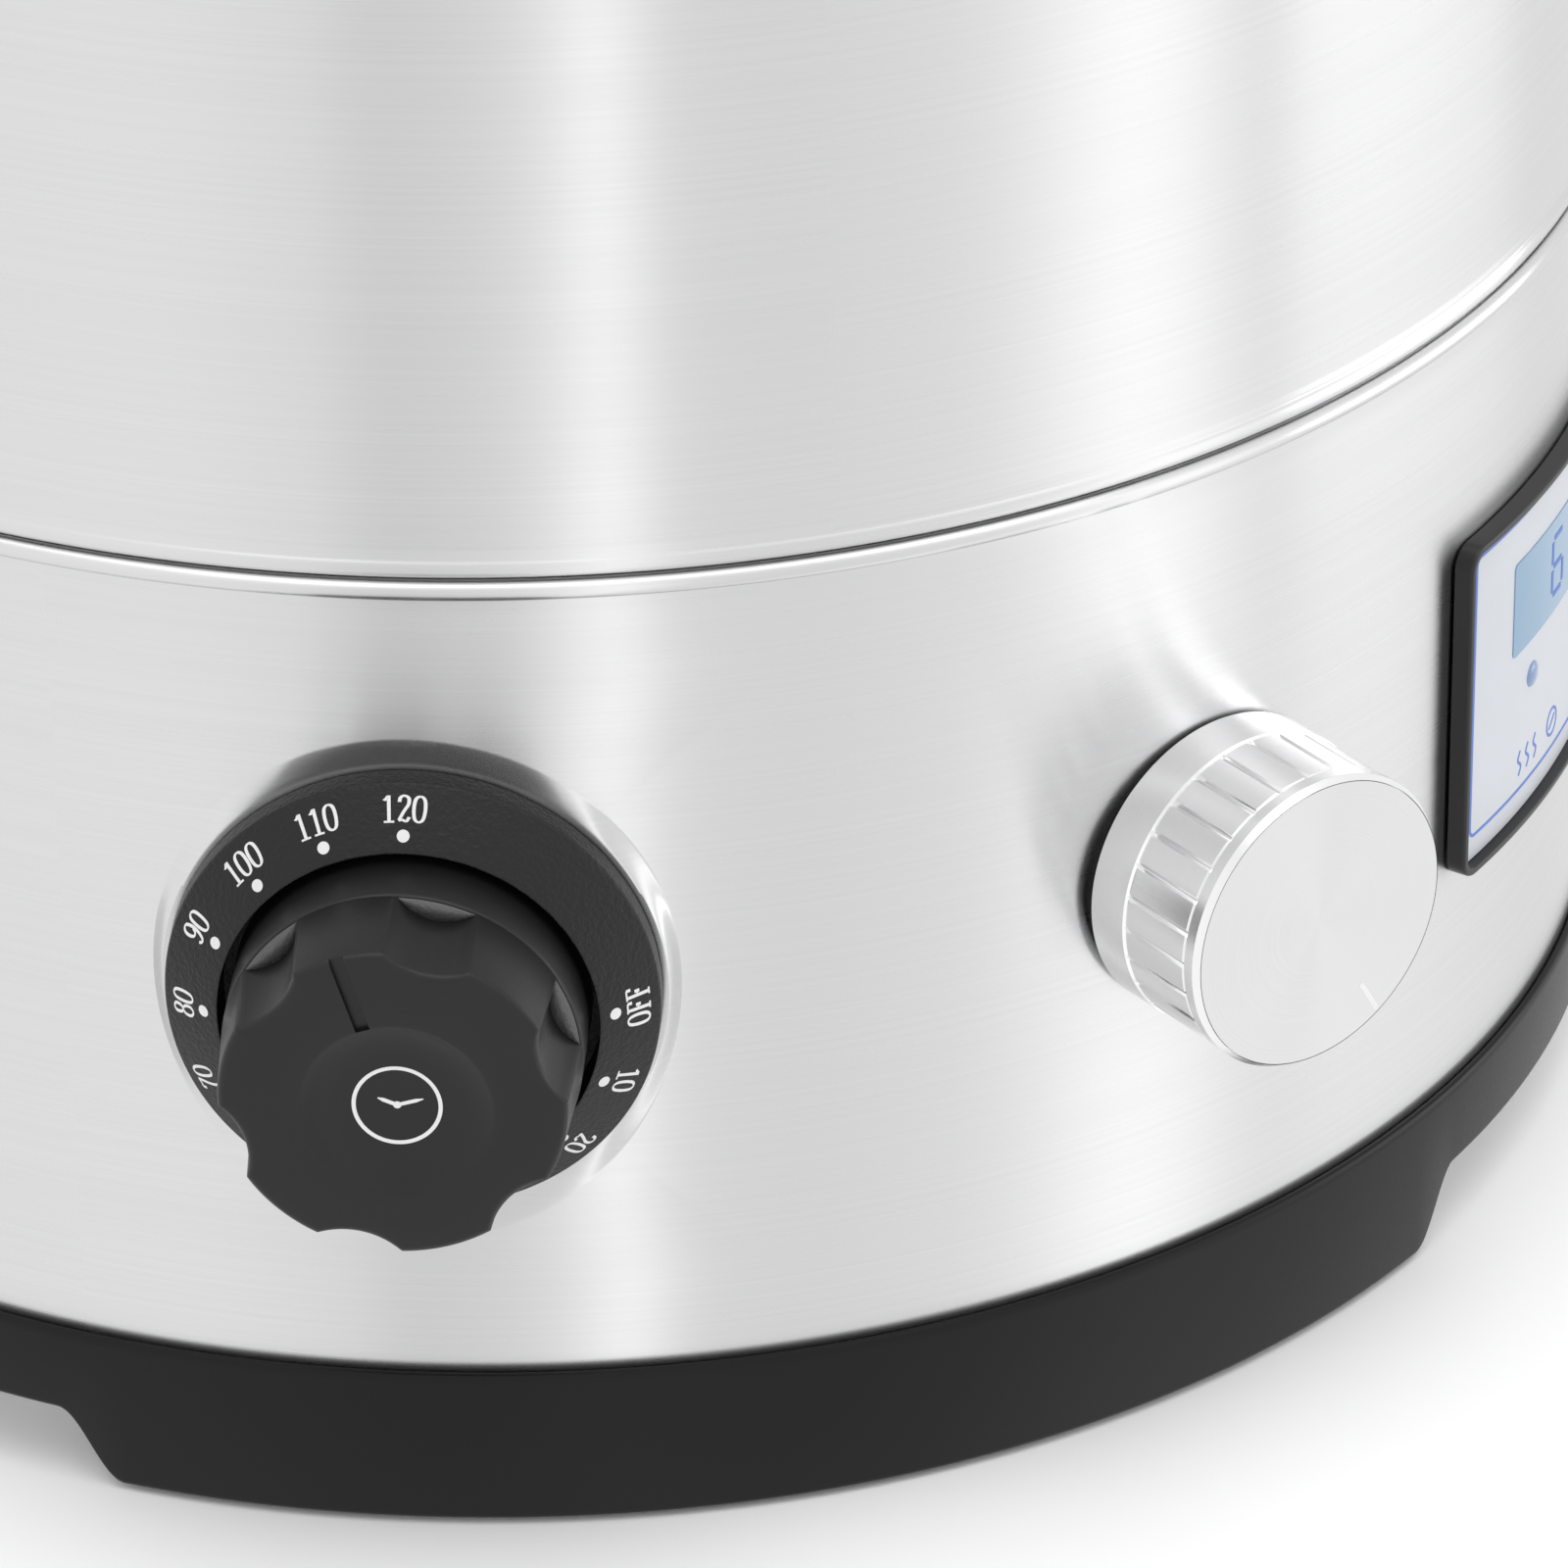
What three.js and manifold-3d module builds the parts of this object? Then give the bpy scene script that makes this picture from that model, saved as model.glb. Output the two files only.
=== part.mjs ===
// Round drum food dehydrator, in millimetres.
// A steel base unit on a plastic ring holds the timer, the power control, the display, the heater and the fan.
// A steel drum with five stacked mesh trays stands in the base unit's rim, under a domed lid with a turning vent.
// +Z is up and the front faces -Y. Everything is drawn about the drum's axis, with the table at z = 0;
// the last lines move the whole object so that the origin is the middle of its footprint.

import * as THREE from 'three';
import { mergeVertices } from 'three/addons/utils/BufferGeometryUtils.js';
import Module from 'manifold-3d';

const wasm = await Module();
wasm.setup();

// ---------------------------------------------------------------- driving sizes

const fit = 0.3; // gap between two pieces that touch
const sheet = 0.8; // steel sheet of skirt, drum and lid
const facets = 48; // facets round every large shell, so that nested shells keep their gaps

const skirtRadius = 145; // outside of the steel skirt
const skirtHeight = 113; // base ring's top edge to the skirt's rolled rim
const ringHeight = 22.5; // table to the base ring's top edge

const ringLip = 1.5; // how far the base ring stands proud of the skirt
const ringWall = 4;
const ringFlange = 20.5; // width of the ring's two inner flanges
const grooveDepth = 2.3; // groove in the base ring that holds the skirt
const footCount = 3;
const gapAngle = 43.5; // width of the notch between two feet, at half its height
const gapHeight = 10.5; // height of that notch
const gapEase = 1.75; // half the width of each of its S-shaped ends, in degrees
const padRadius = 7.5;
const padHeight = 2.2;
const plateDrop = 7.8; // bottom plate's upper face below the ring's top edge

const beadRadius = 1.25; // rolled rim of the skirt
const stopHeight = 2.4; // stop bead of the drum, which rests on that rim
const spigotDepth = 8; // how far the drum reaches into the skirt
const rimRoll = 2.2; // rolled rim at the drum's top

const controlAngle = 20.8; // timer stands this far left of the front, power knob this far right, in degrees
const controlRise = 56; // their shafts above the base ring's top edge
const shaftRadius = 3;

const seatDepth = 1.2; // flat seat pressed into the skirt for the timer
const seatMargin = 0.7; // seat's edge round the dial
const seatSlope = 3.9; // width of the pressed slope around the seat
const seatBack = 6; // depth of the pressed form behind the skirt's surface

const dialGap = 1.35; // timer knob to the dial's inner edge
const dialWidth = 7.1; // that edge to the dial's outer edge
const dialEdge = 2.2; // height of the dial's outer edge over the skirt's surface
const dialCrown = 7.5; // height of its inner edge
const timerKnobRadius = 22;
const timerKnobFront = 27; // knob's front face over the skirt's surface
const fluteCount = 6;
const fluteLength = 12.5;
const fluteRadius = 10.8;
const fluteDepth = 2.2;
const dimpleRadius = 11.6;
const dimpleDepth = 1.2;
const pointerAngle = 17; // the pointer stands this far left of the top at rest, in degrees
const timerBodySize = 42;
const timerBodyDepth = 32;
const timerGap = 1.6; // from the pressed seat to the timer's body behind it

const powerKnobRadius = 19.8;
const powerKnobBack = 2;
const powerKnobFront = 21;
const powerKnobCollar = 4.9; // plain band at the knob's back
const powerKnobLip = 2.7; // band at its front
const powerBodyRadius = 12;
const powerBodyDepth = 16;
const bushRadius = 4.5;

const panelAngle = 53;
const panelRise = 56.2;
const panelWidth = 69;
const panelHeight = 48.5;
const panelFrame = 1.1; // width of the bezel's bars
const panelOverlap = 8.5; // from the panel's edge to the hole behind it
const boardMargin = 5.5; // from the panel's edge to the display board's
const panelProud = 2.9; // bezel's front over the skirt
const labelProud = 1.6;
const windowWidth = 40.2;
const windowHeight = 13.8;
const windowLift = 8.2; // display window's centre over the panel's centre
const lampRadius = 1.9;
const lampPlace = [-13.3, -4.2]; // from the panel's centre

const inletRise = 30; // mains inlet above the base ring's top edge
const inletWidth = 50;
const inletHeight = 27;
const inletSocket = [23, 16, 16]; // width, height and depth of the socket
const inletScrewGap = 40;

const deckDrop = 5.5; // deck below the drum's lower edge
const fanRadius = 54;
const bladeCount = 7;
const ductGap = 7; // blade tips to the duct's outside
const motorRadius = 28;
const motorHeight = 36;
const fanRise = 10; // motor's top to the fan
const heaterInset = 8; // blade tips to the heater's circle
const heaterTube = 3.2;
const heaterDrop = 15; // heater below the duct's top
const fanDrop = 29.7; // fan's lower face below the heater
const boardInset = 44; // skirt's surface to the power board's centre

const trayCount = 5;
const trayPitch = 36;
const trayGap = 5.1; // drum's wall to a tray's rim
const trayHeadroom = 4.2; // posts of the top tray to the drum's rim
const trayRim = 5;
const trayFloor = 1.2;
const postRadius = 2.4;
const postInset = 12; // tray's rim to its posts
const ledgeWidth = 11; // ring inside the drum that carries the lowest tray
const ledgeRise = 5.5; // that ring's top over the skirt's rim

const lidRise = 18; // dome's height over the lid's flange
const lidFlat = 62; // radius of the flat top
const lidOverhang = 1.4;
const ventCount = 8;
const ventRadius = 6;
const ventCircle = 42;
const shutterRadius = 54;
const knobStem = 8.7;

const handleWidth = 104;
const handleReach = 35;
const handleBar = 13;
const handleDrop = 40; // handle's centre below the drum's rim
const bracketHeight = 26;

// ---------------------------------------------------------------- places worked out from them

const DEGREE = Math.PI / 180;
const skirtInside = skirtRadius - sheet;
const skirtTop = ringHeight + skirtHeight;
const ringRadius = skirtRadius + ringLip;
const ringInside = ringRadius - ringWall;
const flangeInside = ringInside - ringFlange + ringWall;
const grooveFloor = ringHeight - grooveDepth;
const drumRadius = skirtInside - fit;
const drumInside = drumRadius - sheet;
const ledgeTop = skirtTop + ledgeRise;
const drumTop = ledgeTop + fit + trayCount * trayPitch + trayHeadroom;
const spigotBottom = skirtTop - spigotDepth;
const plateTop = ringHeight - plateDrop; // bottom plate, screwed up against the ring's upper flange
const plateThickness = 1;
const deckTop = spigotBottom - deckDrop; // deck over the heater
const deckThickness = 1;
const controlHeight = ringHeight + controlRise;
const dialHole = timerKnobRadius + dialGap;
const dialRadius = dialHole + dialWidth;
const seatRadius = dialRadius + seatMargin;
const ductTop = deckTop - deckThickness - fit;
const ductRadius = fanRadius + ductGap;
const heaterRadius = fanRadius - heaterInset;
const heaterHeight = ductTop - heaterDrop;
const fanBottom = heaterHeight - fanDrop;
const motorTop = fanBottom - fanRise;
const motorBottom = motorTop - motorHeight;
const trayRadius = drumInside - trayGap;
const postCircle = trayRadius - postInset;
const lidBase = drumTop + fit;
const lidTop = lidBase + sheet + lidRise;
const shutterBottom = lidTop + fit;
const shutterThickness = 1;

// ---------------------------------------------------------------- finishes

const finish = (color, roughness, metalness = 0) =>
  new THREE.MeshStandardMaterial({ color, roughness, metalness });

const brushedSteel = finish(0xd2d3d4, 0.32, 1);
const plainSteel = finish(0xb8babc, 0.4, 1);
const spunAluminium = finish(0xe4e5e6, 0.22, 1);
const blackPlastic = finish(0x1d1d1e, 0.45);
const rubber = finish(0x111111, 0.9);
const labelPlastic = finish(0xd5dbe6, 0.35);
const displayBlue = finish(0x5aa6cf, 0.15);
const lampLens = finish(0x8496b8, 0.25);
const circuitBoard = finish(0x1f6b45, 0.6);
const timerHousing = finish(0xe6e2d6, 0.6);
const motorMetal = finish(0x8d9196, 0.45, 1);
const heaterMetal = finish(0x6e6a66, 0.5, 1);
const mica = finish(0xc9b48a, 0.8);
const brass = finish(0xc9a55c, 0.35, 1);
const leadWhite = finish(0xe9e9e4, 0.6);
const leadBrown = finish(0x6b4326, 0.6);

// ---------------------------------------------------------------- making and joining shapes

// A closed geometry as a solid that can be joined and cut.
function toSolid(geometry) {
  const loose = geometry.index ? geometry.toNonIndexed() : geometry;
  const bare = new THREE.BufferGeometry().setAttribute('position', loose.getAttribute('position'));
  const merged = mergeVertices(bare, 1e-4);
  const corners = merged.index.array;
  const triangles = [];
  for (let i = 0; i < corners.length; i += 3) {
    const [a, b, c] = corners.slice(i, i + 3);
    if (a !== b && b !== c && c !== a) triangles.push(a, b, c);
  }
  const vertProperties = merged.attributes.position.array;
  const make = (list) =>
    new wasm.Manifold(new wasm.Mesh({ numProp: 3, vertProperties, triVerts: new Uint32Array(list) }));
  const made = make(triangles);
  return made.volume() < 0 ? make(triangles.reverse()) : made;
}

function toGeometry(solid) {
  const mesh = solid.getMesh();
  const geometry = new THREE.BufferGeometry();
  geometry.setAttribute('position', new THREE.BufferAttribute(mesh.vertProperties, 3));
  geometry.setIndex(new THREE.BufferAttribute(mesh.triVerts, 1));
  const flat = geometry.toNonIndexed();
  flat.computeVertexNormals();
  return flat;
}

const join = (first, ...others) => others.reduce((sum, next) => sum.add(next), first);
const cut = (first, ...others) => others.reduce((rest, next) => rest.subtract(next), first);

// A profile of [radius, height] points turned about Z. It starts and ends on the axis or is closed here.
function turned(profile, segments = facets) {
  const points = profile.map(([radius, height]) => new THREE.Vector2(radius, height));
  const open = points[0].x > 0 || points.at(-1).x > 0;
  if (open) points.push(points[0].clone());
  return toSolid(new THREE.LatheGeometry(points, segments).rotateX(Math.PI / 2));
}

// A full cylinder or disc between two heights.
const disc = (radius, bottom, top, segments = facets) =>
  turned([[0, bottom], [radius, bottom], [radius, top], [0, top]], segments);

// A ring of rectangular section.
const ring = (inner, outer, bottom, top, segments = facets) =>
  turned([[inner, bottom], [outer, bottom], [outer, top], [inner, top]], segments);

function box(x0, x1, y0, y1, z0, z1) {
  const geometry = new THREE.BoxGeometry(x1 - x0, y1 - y0, z1 - z0);
  return toSolid(geometry.translate((x0 + x1) / 2, (y0 + y1) / 2, (z0 + z1) / 2));
}

// Points of an arc in a profile; angles in degrees from the outward direction towards up.
function arc(radius, height, size, from, to, steps) {
  return Array.from({ length: steps + 1 }, (_, i) => {
    const angle = (from + ((to - from) * i) / steps) * DEGREE;
    return [radius + size * Math.cos(angle), height + size * Math.sin(angle)];
  });
}

function roundedRectangle(width, height, corner) {
  const [x, y] = [width / 2 - corner, height / 2 - corner];
  const shape = new THREE.Shape();
  shape.absarc(x, y, corner, 0, Math.PI / 2);
  shape.absarc(-x, y, corner, Math.PI / 2, Math.PI);
  shape.absarc(-x, -y, corner, Math.PI, 1.5 * Math.PI);
  shape.absarc(x, -y, corner, 1.5 * Math.PI, 2 * Math.PI);
  return shape;
}

// A flat outline pushed from z0 to z1.
function prism(shape, z0, z1, curveSegments = 4) {
  const geometry = new THREE.ExtrudeGeometry(shape, { depth: z1 - z0, bevelEnabled: false, curveSegments });
  return toSolid(geometry.translate(0, 0, z0));
}

// The frame of something on the skirt: x to the right, y up, z outwards from the skirt's surface.
// The angle is measured from the front, positive to the right as one faces the object.
function facing(angle, height, radius = skirtRadius) {
  return new THREE.Matrix4()
    .makeRotationZ(angle * DEGREE)
    .multiply(new THREE.Matrix4().makeTranslation(0, -radius, height))
    .multiply(new THREE.Matrix4().makeRotationX(Math.PI / 2));
}

const moved = (solid, matrix) => solid.transform(matrix.elements);
const shifted = (solid, x, y, z = 0) => solid.translate([x, y, z]);
const around = (solid, angle) => solid.rotate([0, 0, angle]);

// A plate that follows the skirt between two radii, with the outline of a prism that faces the panel's way.
function curvedPlate(inner, outer, outline, angle, height) {
  const band = ring(inner, outer, height - panelHeight, height + panelHeight);
  return band.intersect(moved(outline, facing(angle, height)));
}

// Rings of curved slots in a disc.
function slots(rows, perRow, width, web, bottom, top) {
  const all = [];
  rows.forEach((radius) => {
    const half = Math.PI / perRow - web / 2 / radius;
    for (let i = 0; i < perRow; i += 1) {
      const shape = new THREE.Shape();
      const middle = (2 * Math.PI * i) / perRow;
      shape.absarc(0, 0, radius + width, middle - half, middle + half, false);
      shape.absarc(0, 0, radius, middle + half, middle - half, true);
      all.push(prism(shape, bottom, top, 2));
    }
  });
  return join(...all);
}

// A round lead through a few points.
function lead(points, radius = 1.5) {
  const path = new THREE.CatmullRomCurve3(points.map((point) => new THREE.Vector3(...point)));
  const section = new THREE.Shape().absarc(0, 0, radius, 0, 2 * Math.PI);
  return toSolid(
    new THREE.ExtrudeGeometry(section, { steps: 2 * points.length, extrudePath: path, curveSegments: 2 }),
  );
}

const dehydrator = new THREE.Group();

function piece(name, solid, material, parent = dehydrator) {
  const mesh = new THREE.Mesh(toGeometry(solid), material);
  mesh.name = name;
  parent.add(mesh);
}

// A group whose pieces are drawn in the frame of something on the skirt.
function groupFacing(angle, height, radius) {
  const group = new THREE.Group();
  group.applyMatrix4(facing(angle, height, radius));
  dehydrator.add(group);
  return group;
}

// ---------------------------------------------------------------- base ring, feet and bottom plate

// The space of one notch under the base ring, between two feet: a strip whose top follows an S at each end.
function notch(middle) {
  const half = gapAngle / 2;
  const across = [];
  for (let i = 0; i <= 4; i += 1) across.push(-half - gapEase + (i / 4) * 2 * gapEase);
  for (let i = 1; i < 6; i += 1) across.push(-half + gapEase + (i / 6) * 2 * (half - gapEase));
  for (let i = 0; i <= 4; i += 1) across.push(half - gapEase + (i / 4) * 2 * gapEase);
  const low = -1;
  const positions = [];
  const columns = across.map((offset) => {
    const into = (half + gapEase - Math.abs(offset)) / (2 * gapEase);
    const share = (1 - Math.cos(Math.PI * Math.min(1, Math.max(0, into)))) / 2;
    const high = share * gapHeight + (1 - share) * low * 0.9;
    const angle = (middle + offset) * DEGREE;
    const at = (radius, height) => [radius * Math.sin(angle), -radius * Math.cos(angle), height];
    const [near, far] = [flangeInside - 5, ringRadius + 5];
    return [at(near, low), at(far, low), at(far, high), at(near, high)];
  });
  const quad = (a, b, c, d) => positions.push(...a, ...b, ...c, ...a, ...c, ...d);
  for (let i = 0; i + 1 < columns.length; i += 1) {
    const [here, next] = [columns[i], columns[i + 1]];
    for (let k = 0; k < 4; k += 1) quad(here[k], here[(k + 1) % 4], next[(k + 1) % 4], next[k]);
  }
  quad(...[...columns[0]].reverse());
  quad(...columns.at(-1));
  const geometry = new THREE.BufferGeometry();
  geometry.setAttribute('position', new THREE.Float32BufferAttribute(positions, 3));
  return toSolid(geometry);
}

const footAngles = Array.from({ length: footCount }, (_, i) => (360 / footCount) * i);
const gapAngles = footAngles.map((angle) => angle + 180 / footCount);
const padCircle = flangeInside + padRadius + 0.5;
const screwCircle = (flangeInside + ringInside) / 2;
const onCircle = (radius, angle) => [radius * Math.sin(angle * DEGREE), -radius * Math.cos(angle * DEGREE)];

function baseRing() {
  const soleBottom = padHeight + fit;
  const soleTop = soleBottom + 2.5;
  const flangeBottom = plateTop + fit;
  const flangeTop = flangeBottom + 3;
  const grooveIn = skirtInside - fit;
  const grooveOut = skirtRadius + fit;
  const body = turned([
    [flangeInside, soleBottom], [ringInside, soleBottom], [ringInside, 0.8],
    [ringRadius - 0.5, 0.8], [ringRadius, 1.3],
    ...arc(ringRadius - 1.1, ringHeight - 1.1, 1.1, 0, 90, 2),
    [grooveOut, ringHeight], [grooveOut, grooveFloor], [grooveIn, grooveFloor], [grooveIn, ringHeight + 1.5],
    [grooveIn - 2, ringHeight + 1.5], [grooveIn - 2, flangeTop], [flangeInside, flangeTop],
    [flangeInside, flangeBottom], [ringInside, flangeBottom], [ringInside, soleTop], [flangeInside, soleTop],
  ]);
  const padHoles = footAngles.map((angle) =>
    shifted(disc(2.5, 0, soleTop + 1, 12), ...onCircle(padCircle, angle)));
  const screwHoles = gapAngles.map((angle) =>
    shifted(disc(2.1, flangeBottom - 1, flangeTop + 1, 12), ...onCircle(screwCircle, angle)));
  return cut(body, ...gapAngles.map(notch), ...padHoles, ...screwHoles);
}

function footPad() {
  const stemTop = padHeight + fit + 2.5;
  return turned([
    [0, 0], [padRadius - 0.6, 0], [padRadius, 0.6], [padRadius, padHeight], [2.2, padHeight],
    [2.2, stemTop], [0, stemTop],
  ], 16);
}

function panScrew(headRadius, headHeight, shankRadius, length) {
  return turned([
    [0, 0], [headRadius * 0.7, 0], [headRadius, headHeight * 0.5], [headRadius, headHeight],
    [shankRadius, headHeight], [shankRadius, headHeight + length], [0, headHeight + length],
  ], 8);
}

function bottomPlate() {
  const bottom = plateTop - plateThickness;
  const plate = disc(ringInside - 0.7, bottom, plateTop);
  const intake = slots([22], 8, 22, 7, bottom - 1, plateTop + 1);
  const holes = gapAngles.map((angle) =>
    shifted(disc(2.1, bottom - 1, plateTop + 1, 12), ...onCircle(screwCircle, angle)));
  return cut(plate, intake, ...holes);
}

piece('base_ring', baseRing(), blackPlastic);
piece('bottom_plate', bottomPlate(), plainSteel);
footAngles.forEach((angle, i) => {
  piece(`rubber_foot_${i + 1}`, shifted(footPad(), ...onCircle(padCircle, angle)), rubber);
});
gapAngles.forEach((angle, i) => {
  const screw = panScrew(4, 2, 1.8, 4.6);
  const bottom = plateTop - plateThickness - fit - 2;
  piece(`bottom_screw_${i + 1}`, shifted(screw, ...onCircle(screwCircle, angle), bottom), plainSteel);
});

// ---------------------------------------------------------------- skirt

const timerFrame = facing(-controlAngle, controlHeight);
const powerFrame = facing(controlAngle, controlHeight);
const panelFrameAt = facing(panelAngle, ringHeight + panelRise);
const inletFrame = facing(180, ringHeight + inletRise);

function skirt() {
  const shell = turned([
    [skirtInside, grooveFloor + fit], [skirtRadius, grooveFloor + fit],
    ...arc(skirtRadius - 0.1, skirtTop - beadRadius, beadRadius, -80, 90, 3),
    [skirtInside, skirtTop],
  ]);
  const rim = seatRadius + seatSlope;
  const outward = 3;
  const spread = seatSlope * (1 + outward / seatDepth);
  const backing = disc(rim + 1, -seatBack, 2).subtract(disc(seatRadius - 4, -seatBack - 1, 3));
  const pad = disc(seatRadius, -seatBack, -seatDepth);
  const slope = turned([[0, -seatDepth], [seatRadius, -seatDepth], [seatRadius + spread, outward], [0, outward]]);
  const pocket = disc(seatRadius - sheet, -seatBack - 1, -seatDepth - sheet);
  const pressed = moved(backing, timerFrame).intersect(disc(skirtRadius, 0, skirtTop));
  const formed = join(cut(join(shell, pressed), moved(slope, timerFrame)), moved(pad, timerFrame));
  const shaftHole = disc(shaftRadius + 2, -10, 5, 16);
  const bushHole = disc(bushRadius + fit, -10, 5, 16);
  const displayHole = prism(
    roundedRectangle(panelWidth - 2 * panelOverlap, panelHeight - 2 * panelOverlap, 2), -10, 5);
  const [socketWidth, socketHeight] = inletSocket;
  const inletHole = join(
    prism(roundedRectangle(socketWidth + 5, socketHeight + 5, 2), -10, 5),
    ...[-1, 1].map((side) => shifted(disc(1.9, -10, 5, 12), (side * inletScrewGap) / 2, 0)),
  );
  return cut(
    formed,
    moved(pocket, timerFrame),
    moved(shaftHole, timerFrame),
    moved(bushHole, powerFrame),
    moved(displayHole, panelFrameAt),
    moved(inletHole, inletFrame),
  );
}

piece('skirt', skirt(), brushedSteel);

// ---------------------------------------------------------------- timer

const timerGroup = groupFacing(-controlAngle, controlHeight);

function timerDial() {
  const back = -seatDepth + fit;
  const floor = back + 1.5;
  const hole = shaftRadius + 2;
  return turned([
    [hole, back], [dialRadius, back], [dialRadius, dialEdge - 0.3], [dialRadius - 0.3, dialEdge],
    [dialHole + 0.4, dialCrown], [dialHole, dialCrown - 0.3], [dialHole, floor], [hole, floor],
  ], 40);
}

function timerKnob() {
  const back = -seatDepth + fit + 1.5 + fit;
  const bore = shaftRadius + fit;
  const boreEnd = timerKnobFront - 12;
  const dimpleSphere = (dimpleRadius ** 2 + dimpleDepth ** 2) / (2 * dimpleDepth);
  const dimple = Array.from({ length: 4 }, (_, i) => {
    const radius = dimpleRadius * (1 - i / 3);
    const rise = dimpleSphere - Math.sqrt(dimpleSphere ** 2 - radius ** 2);
    return [radius, timerKnobFront - dimpleDepth + rise];
  });
  const body = turned([
    [0, boreEnd], [bore, boreEnd], [bore, back], [timerKnobRadius - 0.4, back], [timerKnobRadius, back + 0.4],
    [timerKnobRadius, timerKnobFront - 0.8], [timerKnobRadius - 0.8, timerKnobFront], ...dimple,
  ], 40);
  const fluteAt = timerKnobRadius - fluteDepth + fluteRadius;
  const pitch = 360 / fluteCount;
  const flutes = Array.from({ length: fluteCount }, (_, i) => {
    const flute = disc(fluteRadius, timerKnobFront - fluteLength, timerKnobFront + 1, 24);
    return around(shifted(flute, 0, fluteAt), pointerAngle + pitch * (i + 0.5));
  });
  const groove = box(-0.9, 0.9, dimpleRadius - 1, timerKnobRadius + 1, timerKnobFront - 0.7, timerKnobFront + 1);
  return cut(body, ...flutes, around(groove, pointerAngle));
}

function timerBody() {
  const front = -seatDepth - sheet - timerGap;
  const half = timerBodySize / 2;
  const housing = box(-half, half, -half, half, front - timerBodyDepth, front);
  return housing.subtract(disc(shaftRadius + fit, front - 18, front + 1, 16));
}

const timerShaftBack = -seatDepth - sheet - timerGap - 17;
piece('timer_body', timerBody(), timerHousing, timerGroup);
piece('timer_shaft', disc(shaftRadius, timerShaftBack, timerKnobFront - 12.4, 16), plainSteel, timerGroup);
piece('timer_dial', timerDial(), blackPlastic, timerGroup);
piece('timer_knob', timerKnob(), blackPlastic, timerGroup);

// ---------------------------------------------------------------- power control

const powerGroup = groupFacing(controlAngle, controlHeight);

function powerKnob() {
  const bore = shaftRadius + fit;
  const hollow = 9;
  const hollowEnd = powerKnobBack + 4.5;
  const boreEnd = powerKnobFront - 5;
  const collarEnd = powerKnobBack + powerKnobCollar;
  const lipStart = powerKnobFront - powerKnobLip;
  const waist = powerKnobRadius - 0.5;
  return turned([
    [0, boreEnd], [bore, boreEnd], [bore, hollowEnd], [hollow, hollowEnd], [hollow, powerKnobBack],
    [powerKnobRadius - 0.5, powerKnobBack], [powerKnobRadius, powerKnobBack + 0.5], [powerKnobRadius, collarEnd],
    [waist, collarEnd + 0.3], [waist, lipStart - 0.3], [powerKnobRadius - 0.1, lipStart],
    [powerKnobRadius - 0.1, powerKnobFront - 0.9], [powerKnobRadius - 0.9, powerKnobFront], [0, powerKnobFront],
  ], 32);
}

function powerBody() {
  const front = -sheet - 1.5;
  const bushEnd = powerKnobBack + 3;
  const body = disc(powerBodyRadius, front - powerBodyDepth, front, 24);
  const bush = disc(bushRadius, front - 1, bushEnd, 16);
  return join(body, bush).subtract(disc(shaftRadius + fit, front - 8, bushEnd + 1, 16));
}

function powerNut() {
  const shape = new THREE.Shape(
    Array.from({ length: 6 }, (_, i) => {
      const angle = (Math.PI / 3) * i;
      return new THREE.Vector2(7 * Math.cos(angle), 7 * Math.sin(angle));
    }),
  );
  const blank = prism(shape, powerKnobBack, powerKnobBack + 2.2);
  return blank.subtract(disc(bushRadius + fit, powerKnobBack - 1, powerKnobBack + 4, 16));
}

function powerWasher() {
  const washer = ring(bushRadius + fit, powerKnobRadius - 0.6, -4, powerKnobBack - fit, 32);
  const inDrumFrame = moved(washer, powerFrame);
  return inDrumFrame.subtract(disc(skirtRadius + fit, 0, skirtTop));
}

const powerShaftBack = -sheet - 1.5 - 7.5;
piece('power_control', powerBody(), plainSteel, powerGroup);
piece('power_shaft', disc(shaftRadius, powerShaftBack, powerKnobFront - 5.4, 16), plainSteel, powerGroup);
piece('power_nut', powerNut(), plainSteel, powerGroup);
piece('power_knob', powerKnob(), spunAluminium, powerGroup);
piece('power_washer', powerWasher(), rubber);

// ---------------------------------------------------------------- display panel

const panelZ = ringHeight + panelRise;
const surface = skirtRadius + fit;

function panelBezel() {
  const outer = prism(roundedRectangle(panelWidth, panelHeight, 3), -20, 20);
  const inner = prism(roundedRectangle(panelWidth - 2 * panelFrame, panelHeight - 2 * panelFrame, 1), -30, 30);
  return curvedPlate(surface, skirtRadius + panelProud, outer.subtract(inner), panelAngle, panelZ);
}

function panelLabel() {
  const inset = 2 * (panelFrame + fit);
  const plate = prism(roundedRectangle(panelWidth - inset, panelHeight - inset, 0.8), -20, 20);
  const window = prism(roundedRectangle(windowWidth + 2 * fit, windowHeight + 2 * fit, 1.2), -30, 30);
  const lampHole = disc(lampRadius + fit, -30, 30, 16);
  const outline = cut(plate, shifted(window, 0, windowLift), shifted(lampHole, ...lampPlace));
  return curvedPlate(surface, skirtRadius + labelProud, outline, panelAngle, panelZ);
}

function displayWindow() {
  const outline = shifted(prism(roundedRectangle(windowWidth, windowHeight, 1), -20, 20), 0, windowLift);
  return curvedPlate(surface, skirtRadius + labelProud - fit, outline, panelAngle, panelZ);
}

function displayBoard() {
  const board = prism(
    roundedRectangle(panelWidth - 2 * boardMargin, panelHeight - 2 * boardMargin, 2), -14, -12.4);
  const [moduleX, moduleY] = [windowWidth / 2 + 2.6, windowHeight / 2 + 2.1];
  const module = box(-moduleX, moduleX, windowLift - moduleY, windowLift + moduleY, -12.5, -4.4);
  return join(board, module);
}

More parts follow.
